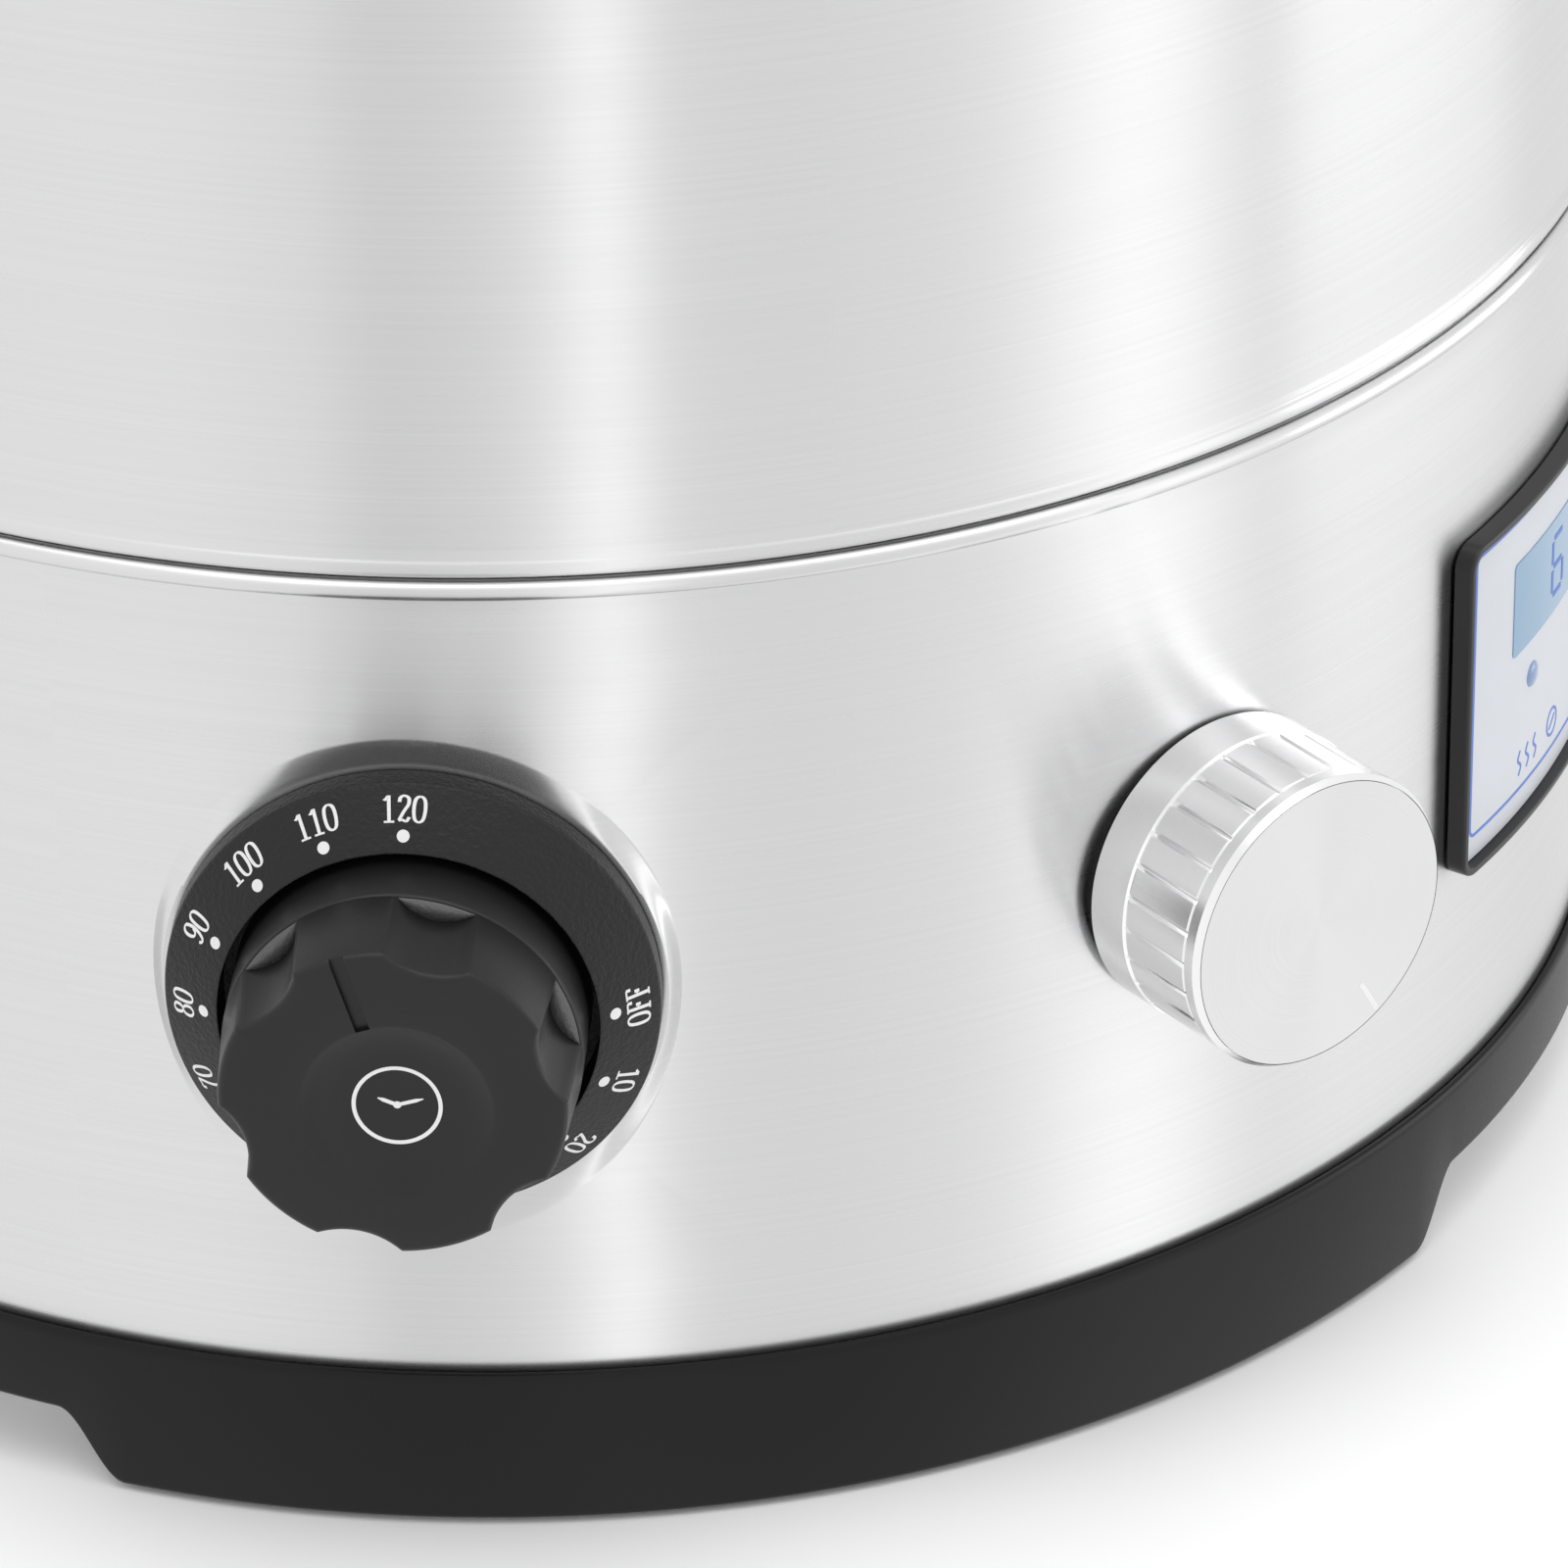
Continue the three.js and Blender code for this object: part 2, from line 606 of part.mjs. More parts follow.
const panelGroup = groupFacing(panelAngle, panelZ);
piece('panel_bezel', panelBezel(), blackPlastic);
piece('panel_label', panelLabel(), labelPlastic);
piece('display_window', displayWindow(), displayBlue);
piece('status_lamp', shifted(disc(lampRadius, -6, 1.2, 16), ...lampPlace), lampLens, panelGroup);
piece('display_board', displayBoard(), circuitBoard, panelGroup);

// ---------------------------------------------------------------- mains inlet

const inletGroup = groupFacing(180, ringHeight + inletRise);
const pinPlaces = [[-7, -2.5], [0, -2.5], [7, -2.5]];
const inletProud = 3;
const inletBack = -24;

function mainsInlet() {
  const [width, height, depth] = inletSocket;
  const flange = prism(roundedRectangle(inletWidth, inletHeight, 4), -6, inletProud);
  const flangeOnSkirt = moved(flange, inletFrame).subtract(disc(skirtRadius + fit, 0, skirtTop));
  const back = moved(flangeOnSkirt, inletFrame.clone().invert());
  const body = prism(roundedRectangle(width + 4, height + 4, 1.5), inletBack, inletProud);
  const socket = prism(roundedRectangle(width, height, 3), inletProud - depth, inletProud + 1);
  const pinHoles = pinPlaces.map(([x, y]) => box(x - 1.3, x + 1.3, y - 2.3, y + 2.3, inletBack - 1, 0));
  const screwHoles = [-1, 1].map((side) => shifted(disc(1.9, -10, 5, 12), (side * inletScrewGap) / 2, 0));
  return cut(join(back, body), socket, ...pinHoles, ...screwHoles);
}

piece('mains_inlet', mainsInlet(), blackPlastic, inletGroup);
pinPlaces.forEach(([x, y], i) => {
  piece(`inlet_pin_${i + 1}`, box(x - 1, x + 1, y - 2, y + 2, inletBack - 6, -2), brass, inletGroup);
});
[-1, 1].forEach((side, i) => {
  const screw = panScrew(3.2, 1.8, 1.6, 9).rotate([180, 0, 0]);
  const front = inletProud + fit + 1.8;
  piece(`inlet_screw_${i + 1}`, shifted(screw, (side * inletScrewGap) / 2, 0, front), plainSteel, inletGroup);
});

// ---------------------------------------------------------------- deck, duct, fan and heater

const outletRadius = ductRadius - 3;

function deckPlate() {
  const bottom = deckTop - deckThickness;
  const outside = skirtInside - 0.5;
  const flangeTop = spigotBottom - 1;
  return turned([
    [outletRadius, bottom], [outside, bottom], [outside, flangeTop], [outside - sheet, flangeTop],
    [outside - sheet, deckTop], [outletRadius, deckTop],
  ]);
}

function outletGrille() {
  const [bottom, top] = [deckTop + fit, deckTop + fit + 1.2];
  return disc(outletRadius + 6, bottom, top, 36).subtract(slots([16, 38], 8, 14, 6, bottom - 1, top + 1));
}

function airDuct() {
  const bottom = fanBottom - 14;
  const tube = ring(ductRadius - 1, ductRadius, bottom, ductTop, 36);
  const flange = ring(ductRadius - 1, ductRadius + 8, ductTop - 1, ductTop, 36);
  const heaterSlot = box(-15, 15, ductRadius - 15, ductRadius + 12, heaterHeight - 6, heaterHeight + 6);
  return join(tube, flange).subtract(heaterSlot);
}

function motorBracket() {
  const [bottom, top] = [motorBottom - fit - 2.5, motorBottom - fit];
  const foot = plateTop + fit;
  const arm = join(box(-5, 5, 0, 74, bottom, top), box(-5, 5, 68, 74, foot, top));
  return join(disc(motorRadius + 3, bottom, top, 36), ...footAngles.map((angle) => around(arm, angle + 60)));
}

const fanShaftRadius = 2.5;

function fanMotor() {
  const body = turned([
    [0, motorBottom], [motorRadius - 2, motorBottom], [motorRadius, motorBottom + 2], [motorRadius, motorTop - 4],
    [motorRadius - 4, motorTop - 1], [8, motorTop - 1], [8, motorTop + 3], [0, motorTop + 3],
  ], 24);
  return body.subtract(disc(fanShaftRadius + fit, motorTop - 14, motorTop + 5, 16));
}

function fanRotor() {
  const hubRadius = 13;
  const hubHeight = 15;
  const pitchAngle = 35;
  const chord = 22;
  const hub = disc(hubRadius, 0, hubHeight, 28);
  const blade = box(hubRadius - 3, fanRadius, -0.8, 0.8, -chord / 2, chord / 2).rotate([90 - pitchAngle, 0, 0]);
  const blades = Array.from({ length: bladeCount }, (_, i) =>
    around(shifted(blade, 0, 0, hubHeight / 2), (360 / bladeCount) * i));
  return join(hub, ...blades).subtract(disc(fanShaftRadius + fit, -1, hubHeight + 1, 16));
}

// One turn of tube whose two ends leave the duct side by side at the back.
function heatingElement() {
  const legGap = 9;
  const points = [[legGap, ductRadius + 20], [legGap, ductRadius + 4], [legGap + 1, heaterRadius + 6]];
  const turn = [];
  for (let angle = 25; angle <= 335; angle += 15.5) {
    turn.push([heaterRadius * Math.sin(angle * DEGREE), heaterRadius * Math.cos(angle * DEGREE)]);
  }
  const back = points.map(([x, y]) => [-x, y]).reverse();
  const path = new THREE.CatmullRomCurve3(
    [...points, ...turn, ...back].map(([x, y]) => new THREE.Vector3(x, y, heaterHeight)),
  );
  const section = new THREE.Shape().absarc(0, 0, heaterTube, 0, 2 * Math.PI);
  return toSolid(new THREE.ExtrudeGeometry(section, { steps: 44, extrudePath: path, curveSegments: 3 }));
}

function heaterSupport() {
  const top = heaterHeight - heaterTube - fit;
  const reach = ductRadius - 1 - 0.5;
  const bar = box(-reach, reach, -0.75, 0.75, top - 6, top);
  return join(around(bar, 45), around(bar, -45));
}

piece('deck_plate', deckPlate(), plainSteel);
piece('outlet_grille', outletGrille(), plainSteel);
piece('air_duct', airDuct(), plainSteel);
piece('motor_bracket', motorBracket(), plainSteel);
piece('fan_motor', fanMotor(), motorMetal);
piece('fan_shaft', disc(fanShaftRadius, motorTop - 13, fanBottom + 17, 16), plainSteel);
piece('fan_rotor', shifted(fanRotor(), 0, 0, fanBottom), blackPlastic);
piece('heating_element', heatingElement(), heaterMetal);
piece('heater_support', heaterSupport(), mica);

// ---------------------------------------------------------------- board, cut-out, probe and leads

const boardAngle = -110;
const boardRadius = skirtRadius - boardInset;
const boardBottom = plateTop + 7.3;

function powerBoard() {
  const [low, high] = [boardBottom, boardBottom + 1.6];
  const board = box(-33, 33, -21, 21, low, high);
  const heatSink = box(-28, 6, -8, 12, high - 0.1, high + 21.4);
  const capacitor = shifted(disc(7, high - 0.1, high + 18.4, 16), 20, 8);
  const posts = [[-28, -16], [28, -16], [-28, 16], [28, 16]].map(([x, y]) =>
    shifted(disc(3, plateTop + fit, low + 0.5, 12), x, y));
  return shifted(join(board, heatSink, capacitor, ...posts), 0, -boardRadius);
}

const cutoutAngle = 150;
const cutoutNear = ductRadius + 9;
const probeRadius = ductRadius + 17;
const cutout = box(-8, 8, -cutoutNear - 8, -cutoutNear, deckTop - 10, deckTop - 2);
const probe = shifted(disc(3, deckTop + fit, deckTop + 14, 16), 0, -probeRadius);

piece('power_board', around(powerBoard(), boardAngle), circuitBoard);
piece('thermal_cutout', around(cutout, cutoutAngle), timerHousing);
piece('temperature_probe', around(probe, 75), plainSteel);

const timerBack = seatDepth + sheet + timerGap + timerBodyDepth;

// A point of a lead: its angle, how far it runs inside the skirt's surface, and its height over the plate.
const laid = (angle, depth, rise) => [...onCircle(skirtRadius - depth, angle), plateTop + rise];
// A point of a lead by its angle, its distance from the axis and its height over the table.
const at = (angle, radius, height) => [...onCircle(radius, angle), height];

piece('lead_inlet_to_timer', lead([
  at(184, skirtRadius - 33, ringHeight + inletRise - 6.5), laid(195, 39, 23.3), laid(225, 45, 43.3),
  laid(270, 47, 55.3), at(310, skirtRadius - timerBack - 10.5, controlHeight - 0.5),
  at(330, skirtRadius - timerBack - 6.5, controlHeight + 3.5),
  at(335.5, skirtRadius - timerBack - 3, controlHeight + 5.5),
]), leadBrown);
piece('lead_timer_to_board', lead([
  at(330, skirtRadius - timerBack - 6, controlHeight - 18.5),
  at(318, skirtRadius - timerBack - 12.5, controlHeight - 22.5),
  laid(295, 53, 39.3), laid(272, 53, 35.3), laid(256, 51, 33.8),
]), leadBrown);
piece('lead_board_to_heater', lead([
  laid(252, 33, 30.8), laid(235, 37, 43.3), at(212, skirtRadius - 47, heaterHeight - 21.7),
  at(196, ductRadius + 31, heaterHeight - 7.7), at(187, ductRadius + 25, heaterHeight),
]), leadWhite);
piece('lead_board_to_motor', lead([
  at(235, skirtRadius - 61, plateTop + 18.3), at(222, motorRadius + 48, motorBottom + 6),
  at(212, motorRadius + 36, motorBottom + 10), at(212, motorRadius + 20, motorBottom + 12),
  at(212, motorRadius + 2.5, motorBottom + 14),
]), leadWhite);
piece('lead_display', lead([
  at(56, skirtRadius - 16.5, ringHeight + panelRise - 6.5), at(62, skirtRadius - 27, ringHeight + panelRise - 22.5),
  laid(85, 37, 29.3), laid(125, 41, 23.3), laid(150, 41, 19.3), laid(172, 33, 15.3), laid(195, 33, 13.3),
  laid(222, 41, 13.3),
]), leadWhite);

// ---------------------------------------------------------------- drum and handles

function drum() {
  const stopBottom = skirtTop + fit;
  const stopTop = stopBottom + stopHeight;
  const half = stopHeight / 2;
  return turned([
    [drumInside, spigotBottom], [drumRadius, spigotBottom], [drumRadius, stopBottom + 0.1],
    ...arc(drumRadius + 0.3, stopBottom + half, half, -75, 75, 2), [drumRadius, stopTop],
    [drumRadius, drumTop - rimRoll], ...arc(drumRadius + 1, drumTop - rimRoll / 2, rimRoll / 2, -90, 90, 3),
    [drumInside, drumTop], [drumInside, ledgeTop], [drumInside - ledgeWidth, ledgeTop],
    [drumInside - ledgeWidth, ledgeTop - 1], [drumInside, ledgeTop - 1],
  ]);
}

const handleHeight = drumTop - handleDrop;
const bracketInside = drumRadius + fit;
const bracketOutside = bracketInside + 1;

function handleBracket(angle) {
  const outline = prism(roundedRectangle(handleWidth - 4, bracketHeight, 5), -20, 20);
  const band = ring(bracketInside, bracketOutside, handleHeight - bracketHeight, handleHeight + bracketHeight);
  return band.intersect(moved(outline, facing(angle, handleHeight)));
}

function handle(angle) {
  const legWidth = 14;
  const loop = new THREE.Shape();
  const [x, corner] = [handleWidth / 2, 12];
  loop.moveTo(-x, -12);
  loop.lineTo(x, -12);
  loop.lineTo(x, handleReach - corner);
  loop.absarc(x - corner, handleReach - corner, corner, 0, Math.PI / 2);
  loop.absarc(corner - x, handleReach - corner, corner, Math.PI / 2, Math.PI);
  const gap = new THREE.Path();
  const [gapX, gapCorner] = [x - legWidth, 6];
  const gapTop = handleReach - handleBar;
  gap.moveTo(-gapX, -11);
  gap.lineTo(gapX, -11);
  gap.lineTo(gapX, gapTop - gapCorner);
  gap.absarc(gapX - gapCorner, gapTop - gapCorner, gapCorner, 0, Math.PI / 2);
  gap.absarc(gapCorner - gapX, gapTop - gapCorner, gapCorner, Math.PI / 2, Math.PI);
  loop.holes.push(gap);
  const bar = prism(loop, -handleBar / 2, handleBar / 2).rotate([90, 0, 0]);
  const placed = moved(bar, facing(angle, handleHeight));
  return placed.subtract(disc(bracketOutside + fit, handleHeight - 50, handleHeight + 50));
}

piece('drum', drum(), brushedSteel);
piece('bracket_left', handleBracket(-90), plainSteel);
piece('bracket_right', handleBracket(90), plainSteel);
piece('handle_left', handle(-90), blackPlastic);
piece('handle_right', handle(90), blackPlastic);

// ---------------------------------------------------------------- trays

// A flat round tray: a rimmed floor of fine mesh, drawn here as a plain sheet, with four posts that carry
// the tray above.
function tray() {
  const rimmed = turned([
    [0, 0], [trayRadius, 0], [trayRadius, trayRim], [trayRadius - 1.2, trayRim], [trayRadius - 1.2, trayFloor],
    [0, trayFloor],
  ]);
  const posts = [45, 135, 225, 315].map((angle) =>
    shifted(disc(postRadius, trayFloor / 2, trayPitch - fit, 6), ...onCircle(postCircle, angle)));
  return join(rimmed, ...posts);
}

for (let i = 0; i < trayCount; i += 1) {
  piece(`tray_${i + 1}`, shifted(tray(), 0, 0, ledgeTop + fit + i * trayPitch), plainSteel);
}

// ---------------------------------------------------------------- lid, vent and knob

// Height of the dome over the lid's flange, from its flat top out to the flange.
function domeRise(radius) {
  const share = (radius - lidFlat) / (drumInside - lidFlat);
  return lidRise * (1 - share ** 2);
}

function lid() {
  const flangeTop = lidBase + sheet;
  const spigotOutside = drumInside - 0.5;
  const spigotEnd = lidBase - 7.5;
  const steps = 5;
  const radii = Array.from({ length: steps }, (_, i) => lidFlat + ((drumInside - lidFlat) * i) / steps);
  const outside = [...radii].reverse().map((radius) => [radius, flangeTop + domeRise(radius)]);
  const inside = radii.map((radius) => [radius, lidBase + domeRise(radius)]);
  const overhang = drumRadius + 1 + rimRoll / 2 + lidOverhang;
  const shell = turned([
    [0, lidTop - sheet], ...inside, [spigotOutside - sheet, lidBase], [spigotOutside - sheet, spigotEnd],
    [spigotOutside, spigotEnd], [spigotOutside, lidBase], [overhang, lidBase], [overhang, flangeTop],
    ...outside, [0, lidTop],
  ]);
  const vents = Array.from({ length: ventCount }, (_, i) =>
    shifted(disc(ventRadius, lidTop - 5, lidTop + 5, 12), ...onCircle(ventCircle, (360 / ventCount) * i)));
  return cut(shell, ...vents, disc(2.1, lidTop - 5, lidTop + 5, 12));
}

function ventShutter() {
  const top = shutterBottom + shutterThickness;
  const plate = ring(knobStem + 0.6, shutterRadius, shutterBottom, top, 36);
  const openings = Array.from({ length: ventCount }, (_, i) =>
    shifted(disc(ventRadius, shutterBottom - 1, top + 1, 12), ...onCircle(ventCircle, (360 / ventCount) * i)));
  const tab = box(-9, 9, -shutterRadius + 0.5, -shutterRadius + 3, shutterBottom, top + 7);
  return join(cut(plate, ...openings), around(tab, 180 / ventCount));
}

function lidKnob() {
  const base = shutterBottom;
  const flange = base + shutterThickness + fit;
  return turned([
    [0, base + 15], [2.1, base + 15], [2.1, base], [knobStem, base], [knobStem, flange], [16, flange],
    [16, flange + 1.5], [11, flange + 5], [9.5, flange + 11], [15, flange + 19], [18.5, flange + 24],
    [18, flange + 29], [13, flange + 33], [0, flange + 34.5],
  ], 24);
}

piece('lid', lid(), brushedSteel);
piece('vent_shutter', ventShutter(), brushedSteel);
piece('lid_knob', lidKnob(), blackPlastic);
piece('lid_knob_screw', shifted(panScrew(4, 2, 1.8, 13), 0, 0, lidTop - sheet - fit - 2), plainSteel);

// ---------------------------------------------------------------- origin at the middle of the footprint

const extent = new THREE.Box3().setFromObject(dehydrator, true);
const middle = extent.getCenter(new THREE.Vector3());
dehydrator.position.set(-middle.x, -middle.y, -extent.min.z);

export default dehydrator;
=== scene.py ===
"""Looks for a round drum food dehydrator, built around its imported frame.

Sizes are in millimetres until a piece is made, and metres after that.
"""

import math

import bmesh
import bpy
from mathutils import Matrix, Vector


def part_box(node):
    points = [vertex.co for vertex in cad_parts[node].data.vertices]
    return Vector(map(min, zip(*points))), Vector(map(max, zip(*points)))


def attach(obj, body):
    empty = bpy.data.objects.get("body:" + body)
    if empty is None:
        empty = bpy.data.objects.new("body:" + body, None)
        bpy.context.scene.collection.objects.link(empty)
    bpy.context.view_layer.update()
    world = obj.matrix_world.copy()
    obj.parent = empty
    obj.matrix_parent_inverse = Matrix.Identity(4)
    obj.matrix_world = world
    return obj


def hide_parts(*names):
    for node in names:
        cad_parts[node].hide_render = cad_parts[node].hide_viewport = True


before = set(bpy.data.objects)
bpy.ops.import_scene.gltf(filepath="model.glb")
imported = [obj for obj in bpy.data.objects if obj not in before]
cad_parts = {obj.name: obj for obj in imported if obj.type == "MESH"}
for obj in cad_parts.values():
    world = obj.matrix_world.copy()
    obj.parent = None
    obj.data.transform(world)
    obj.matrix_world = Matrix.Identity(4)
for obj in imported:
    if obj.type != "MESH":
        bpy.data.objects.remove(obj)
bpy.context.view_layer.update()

MM = 0.001
drum_low, drum_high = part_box("drum")
# The drum's axis lies this far behind the footprint's middle.
AXIS_Y = (drum_low[1] + drum_high[1]) / 2 / MM

# ------------------------------------------------------------------ sizes, in millimetres and degrees

SHEET = 0.8
SKIRT_RADIUS = 145.0
RING_HEIGHT = 22.5
DRUM_TOP = 325.5
RING_RADIUS = 146.5
RING_INSIDE = 142.5
SOLE_INSIDE = 126.0
GROOVE_FLOOR = 20.2
DRUM_RADIUS = 143.9
DRUM_INSIDE = 143.1
LEDGE_TOP = 141.0
CONTROL_ANGLE = 20.8
CONTROL_HEIGHT = 78.5
SEAT_DEPTH = 1.2
SEAT_RADIUS = 31.15
KNOB_RADIUS = 22.0
KNOB_FRONT = 27.0
DIMPLE_RADIUS = 11.9
DIMPLE_DEPTH = 1.6
DIMPLE_AT = Vector((0.45, -0.8))
FLUTE_LENGTH = 12.5
POINTER_ANGLE = 17.0
POWER_RADIUS = 19.8
POWER_FRONT = 21.0
PANEL_ANGLE = 53.0
PANEL_HEIGHT = 78.7
FEET = (0, 120, 240)
GAPS = (60, 180, 300)
TRAY_PITCH = 36.0
TRAY_RADIUS = 138.0
LID_BASE = 325.8
LID_RISE = 18.0
LID_FLAT = 62.0
LID_TOP = 344.6
VENTS = 8
VENT_CIRCLE = 42.0
VENT_RADIUS = 6.0
HANDLE_HEIGHT = 285.5
HANDLE_THICK = 12.6
GAP_HALF = 21.75  # half of the gap between two feet
FLUTES = 6
FIRST_FLUTE = 13  # clockwise from the top
KNOB_NARROWING = 0.8  # how much less the knob's radius is at its front than at its collar
TRAY_BASE = 141.3
POST_CIRCLE = 126.0
TAB_ANGLE = 22.5  # half of the way from one vent to the next
WALL_FACE = DRUM_RADIUS + 0.75  # the drum's outer face above its seam


# ------------------------------------------------------------------ making meshes

AXIS = Matrix.Translation((0, AXIS_Y, 0))


def facing(angle, height, radius=SKIRT_RADIUS):
    """Frame of something on the skirt: x to the right, y up, z outwards from the skirt's surface."""
    turn = Matrix.Rotation(math.radians(angle), 4, "Z")
    return AXIS @ turn @ Matrix.Translation((0, -radius, height)) @ Matrix.Rotation(math.pi / 2, 4, "X")


def on_circle(radius, angle, height=0.0):
    """Place on a circle round the drum's axis; the angle is from the front, positive to the right."""
    a = math.radians(angle)
    return Matrix.Translation((radius * math.sin(a), -radius * math.cos(a) + AXIS_Y, height))


def new_object(name, data):
    """A new object in the scene."""
    made = bpy.data.objects.new(name, data)
    bpy.context.scene.collection.objects.link(made)
    return made


def new_mesh(bm, name):
    """Turns a bmesh into a mesh and frees it."""
    mesh = bpy.data.meshes.new(name)
    bm.to_mesh(mesh)
    bm.free()
    return mesh


def finish_mesh(bm, name, place=None, outward=True, sharp=35.0):
    """Turns a bmesh in millimetres into an object in metres, with its place in its mesh."""
    if place is not None:
        bmesh.ops.transform(bm, matrix=place, verts=bm.verts)
    bmesh.ops.scale(bm, vec=(MM, MM, MM), verts=bm.verts)
    if outward:
        bmesh.ops.recalc_face_normals(bm, faces=bm.faces)
    mesh = new_mesh(bm, name)
    mesh.shade_smooth()
    mesh.set_sharp_from_angle(angle=math.radians(sharp))
    return new_object(name, mesh)


def eased(profile, steps=4):
    """Rounds a profile's corners. A point is (r, z) or (r, z, cut), with cut the length rounded off."""
    out = []
    count = len(profile)
    for i, point in enumerate(profile):
        if len(point) == 2:
            out.append(Vector(point))
            continue
        here = Vector(point[:2])
        before = Vector(profile[i - 1][:2]) - here
        after = Vector(profile[(i + 1) % count][:2]) - here
        start = here + before.normalized() * min(point[2], before.length * 0.5)
        end = here + after.normalized() * min(point[2], after.length * 0.5)
        for k in range(steps + 1):
            t = k / steps
            out.append(start * (1 - t) ** 2 + here * 2 * t * (1 - t) + end * t**2)
    return out


def add_turned(bm, profile, segments=192, closed=True, radius_at=None, steps=4):
    """Turns a profile about Z, with a UV map in metres: along the turn, and along the profile."""
    points = eased(profile, steps)
    layer = bm.loops.layers.uv.verify()
    widest = max(p.x for p in points)
    along = [0.0]
    ring_pairs = list(zip(points, points[1:] + points[:1])) if closed else list(zip(points, points[1:]))
    for a, b in ring_pairs:
        along.append(along[-1] + (b - a).length)
    rings = []
    for k, p in enumerate(points):
        if p.x < 1e-6:
            rings.append([bm.verts.new((0, 0, p.y))])
            continue
        ring = []
        for i in range(segments):
            a = 2 * math.pi * i / segments
            r = radius_at(p, a, k) if radius_at else p.x
            ring.append(bm.verts.new((r * math.sin(a), -r * math.cos(a), p.y)))
        rings.append(ring)
    for j in range(len(ring_pairs)):
        low, high = rings[j], rings[(j + 1) % len(rings)]
        for i in range(segments):
            n = (i + 1) % segments
            u0, u1 = i / segments, (i + 1) / segments
            v0, v1 = along[j], along[j + 1]
            if len(low) == 1 and len(high) == 1:
                continue
            if len(low) == 1:
                corners = [(low[0], u0, v0), (high[n], u1, v1), (high[i], u0, v1)]
            elif len(high) == 1:
                corners = [(low[i], u0, v0), (low[n], u1, v0), (high[0], u0, v1)]
            else:
                corners = [(low[i], u0, v0), (low[n], u1, v0), (high[n], u1, v1), (high[i], u0, v1)]
            face = bm.faces.new([c[0] for c in corners])
            for loop, (_, u, v) in zip(face.loops, corners):
                loop[layer].uv = (u * 2 * math.pi * widest * MM, v * MM)


def turned(name, profile, segments=192, place=AXIS, closed=True, sharp=35.0, radius_at=None, steps=4):
    bm = bmesh.new()
    add_turned(bm, profile, segments, closed, radius_at, steps)
    return finish_mesh(bm, name, place, sharp=sharp)


def bridge(bm, rings, closed=False):
    """Joins neighbouring rings of vertices with faces; closed joins the last to the first too."""
    for a, b in zip(rings, rings[1:] + (rings[:1] if closed else [])):
        for i in range(len(a)):
            n = (i + 1) % len(a)
            bm.faces.new((a[i], a[n], b[n], b[i]))


def rounded_outline(width, height, corner, steps=8):
    """Points round a rounded rectangle, counter-clockwise."""
    out = []
    x, y = width / 2 - corner, height / 2 - corner
    for cx, cy, start in ((x, y, 0), (-x, y, 90), (-x, -y, 180), (x, -y, 270)):
        for k in range(steps + 1):
            a = math.radians(start + 90 * k / steps)
            out.append((cx + corner * math.cos(a), cy + corner * math.sin(a)))
    return out


def circle_points(x, y, radius, steps, count):
    """The first count points of a circle that is divided in steps."""
    turns = [2 * math.pi * k / steps for k in range(count)]
    return [(x + radius * math.cos(t), y + radius * math.sin(t)) for t in turns]


def superellipse(width, height, power=4.0, steps=32):
    out = []
    for k in range(steps):
        a = 2 * math.pi * k / steps
        c, s = math.cos(a), math.sin(a)
        out.append((
            width / 2 * math.copysign(abs(c) ** (2 / power), c),
            height / 2 * math.copysign(abs(s) ** (2 / power), s),
        ))
    return out


def join_objects(name, parts):
    """Joins the parts' meshes into one new piece and removes the parts."""
    bm = bmesh.new()
    for part in parts:
        bm.from_mesh(part.data)
    mesh = new_mesh(bm, name)
    for part in parts:
        bpy.data.objects.remove(part)
    return new_object(name, mesh)


def baked(piece):
    """Applies a piece's modifiers."""
    graph = bpy.context.evaluated_depsgraph_get()
    made = bpy.data.meshes.new_from_object(piece.evaluated_get(graph), depsgraph=graph)
    piece.modifiers.clear()
    old = piece.data
    piece.data = made
    made.name = piece.name
    bpy.data.meshes.remove(old)
    return piece


def carve(piece, cutters, sharp=35.0):
    """Cuts the cutters out of a piece and removes them."""
    for cutter in cutters:
        tool = piece.modifiers.new("cut", "BOOLEAN")
        tool.operation = "DIFFERENCE"
        tool.solver = "EXACT"
        tool.object = cutter
    baked(piece)
    for cutter in cutters:
        bpy.data.objects.remove(cutter)
    piece.data.shade_smooth()
    piece.data.set_sharp_from_angle(angle=math.radians(sharp))
    return piece


def block(name, low, high, place, bevel=0.0):
    """A box between two corners in a frame, with rounded edges."""
    bm = bmesh.new()
    bmesh.ops.create_cube(bm, size=1.0)
    size = Vector(high) - Vector(low)
    centre = (Vector(high) + Vector(low)) / 2
    bmesh.ops.scale(bm, vec=size, verts=bm.verts)
    bmesh.ops.translate(bm, vec=centre, verts=bm.verts)
    if bevel:
        bmesh.ops.bevel(bm, geom=list(bm.edges), offset=bevel, segments=3, profile=0.5, affect="EDGES")
    return finish_mesh(bm, name, place)


# ------------------------------------------------------------------ materials


class Graph:
    """A short way to build a node tree."""

    def __init__(self, tree):
        self.tree = tree

    def add(self, kind, inputs=None, **settings):
        node = self.tree.nodes.new(kind)
        for key, value in settings.items():
            setattr(node, key, value)
        for key, value in (inputs or {}).items():
            socket = node.inputs[key]
            if isinstance(value, bpy.types.NodeSocket):
                self.tree.links.new(value, socket)
            else:
                socket.default_value = value
        return node

    def maths(self, operation, *values):
        """The result of a maths node; its values are numbers or outputs."""
        return self.add("ShaderNodeMath", dict(enumerate(values)), operation=operation).outputs[0]


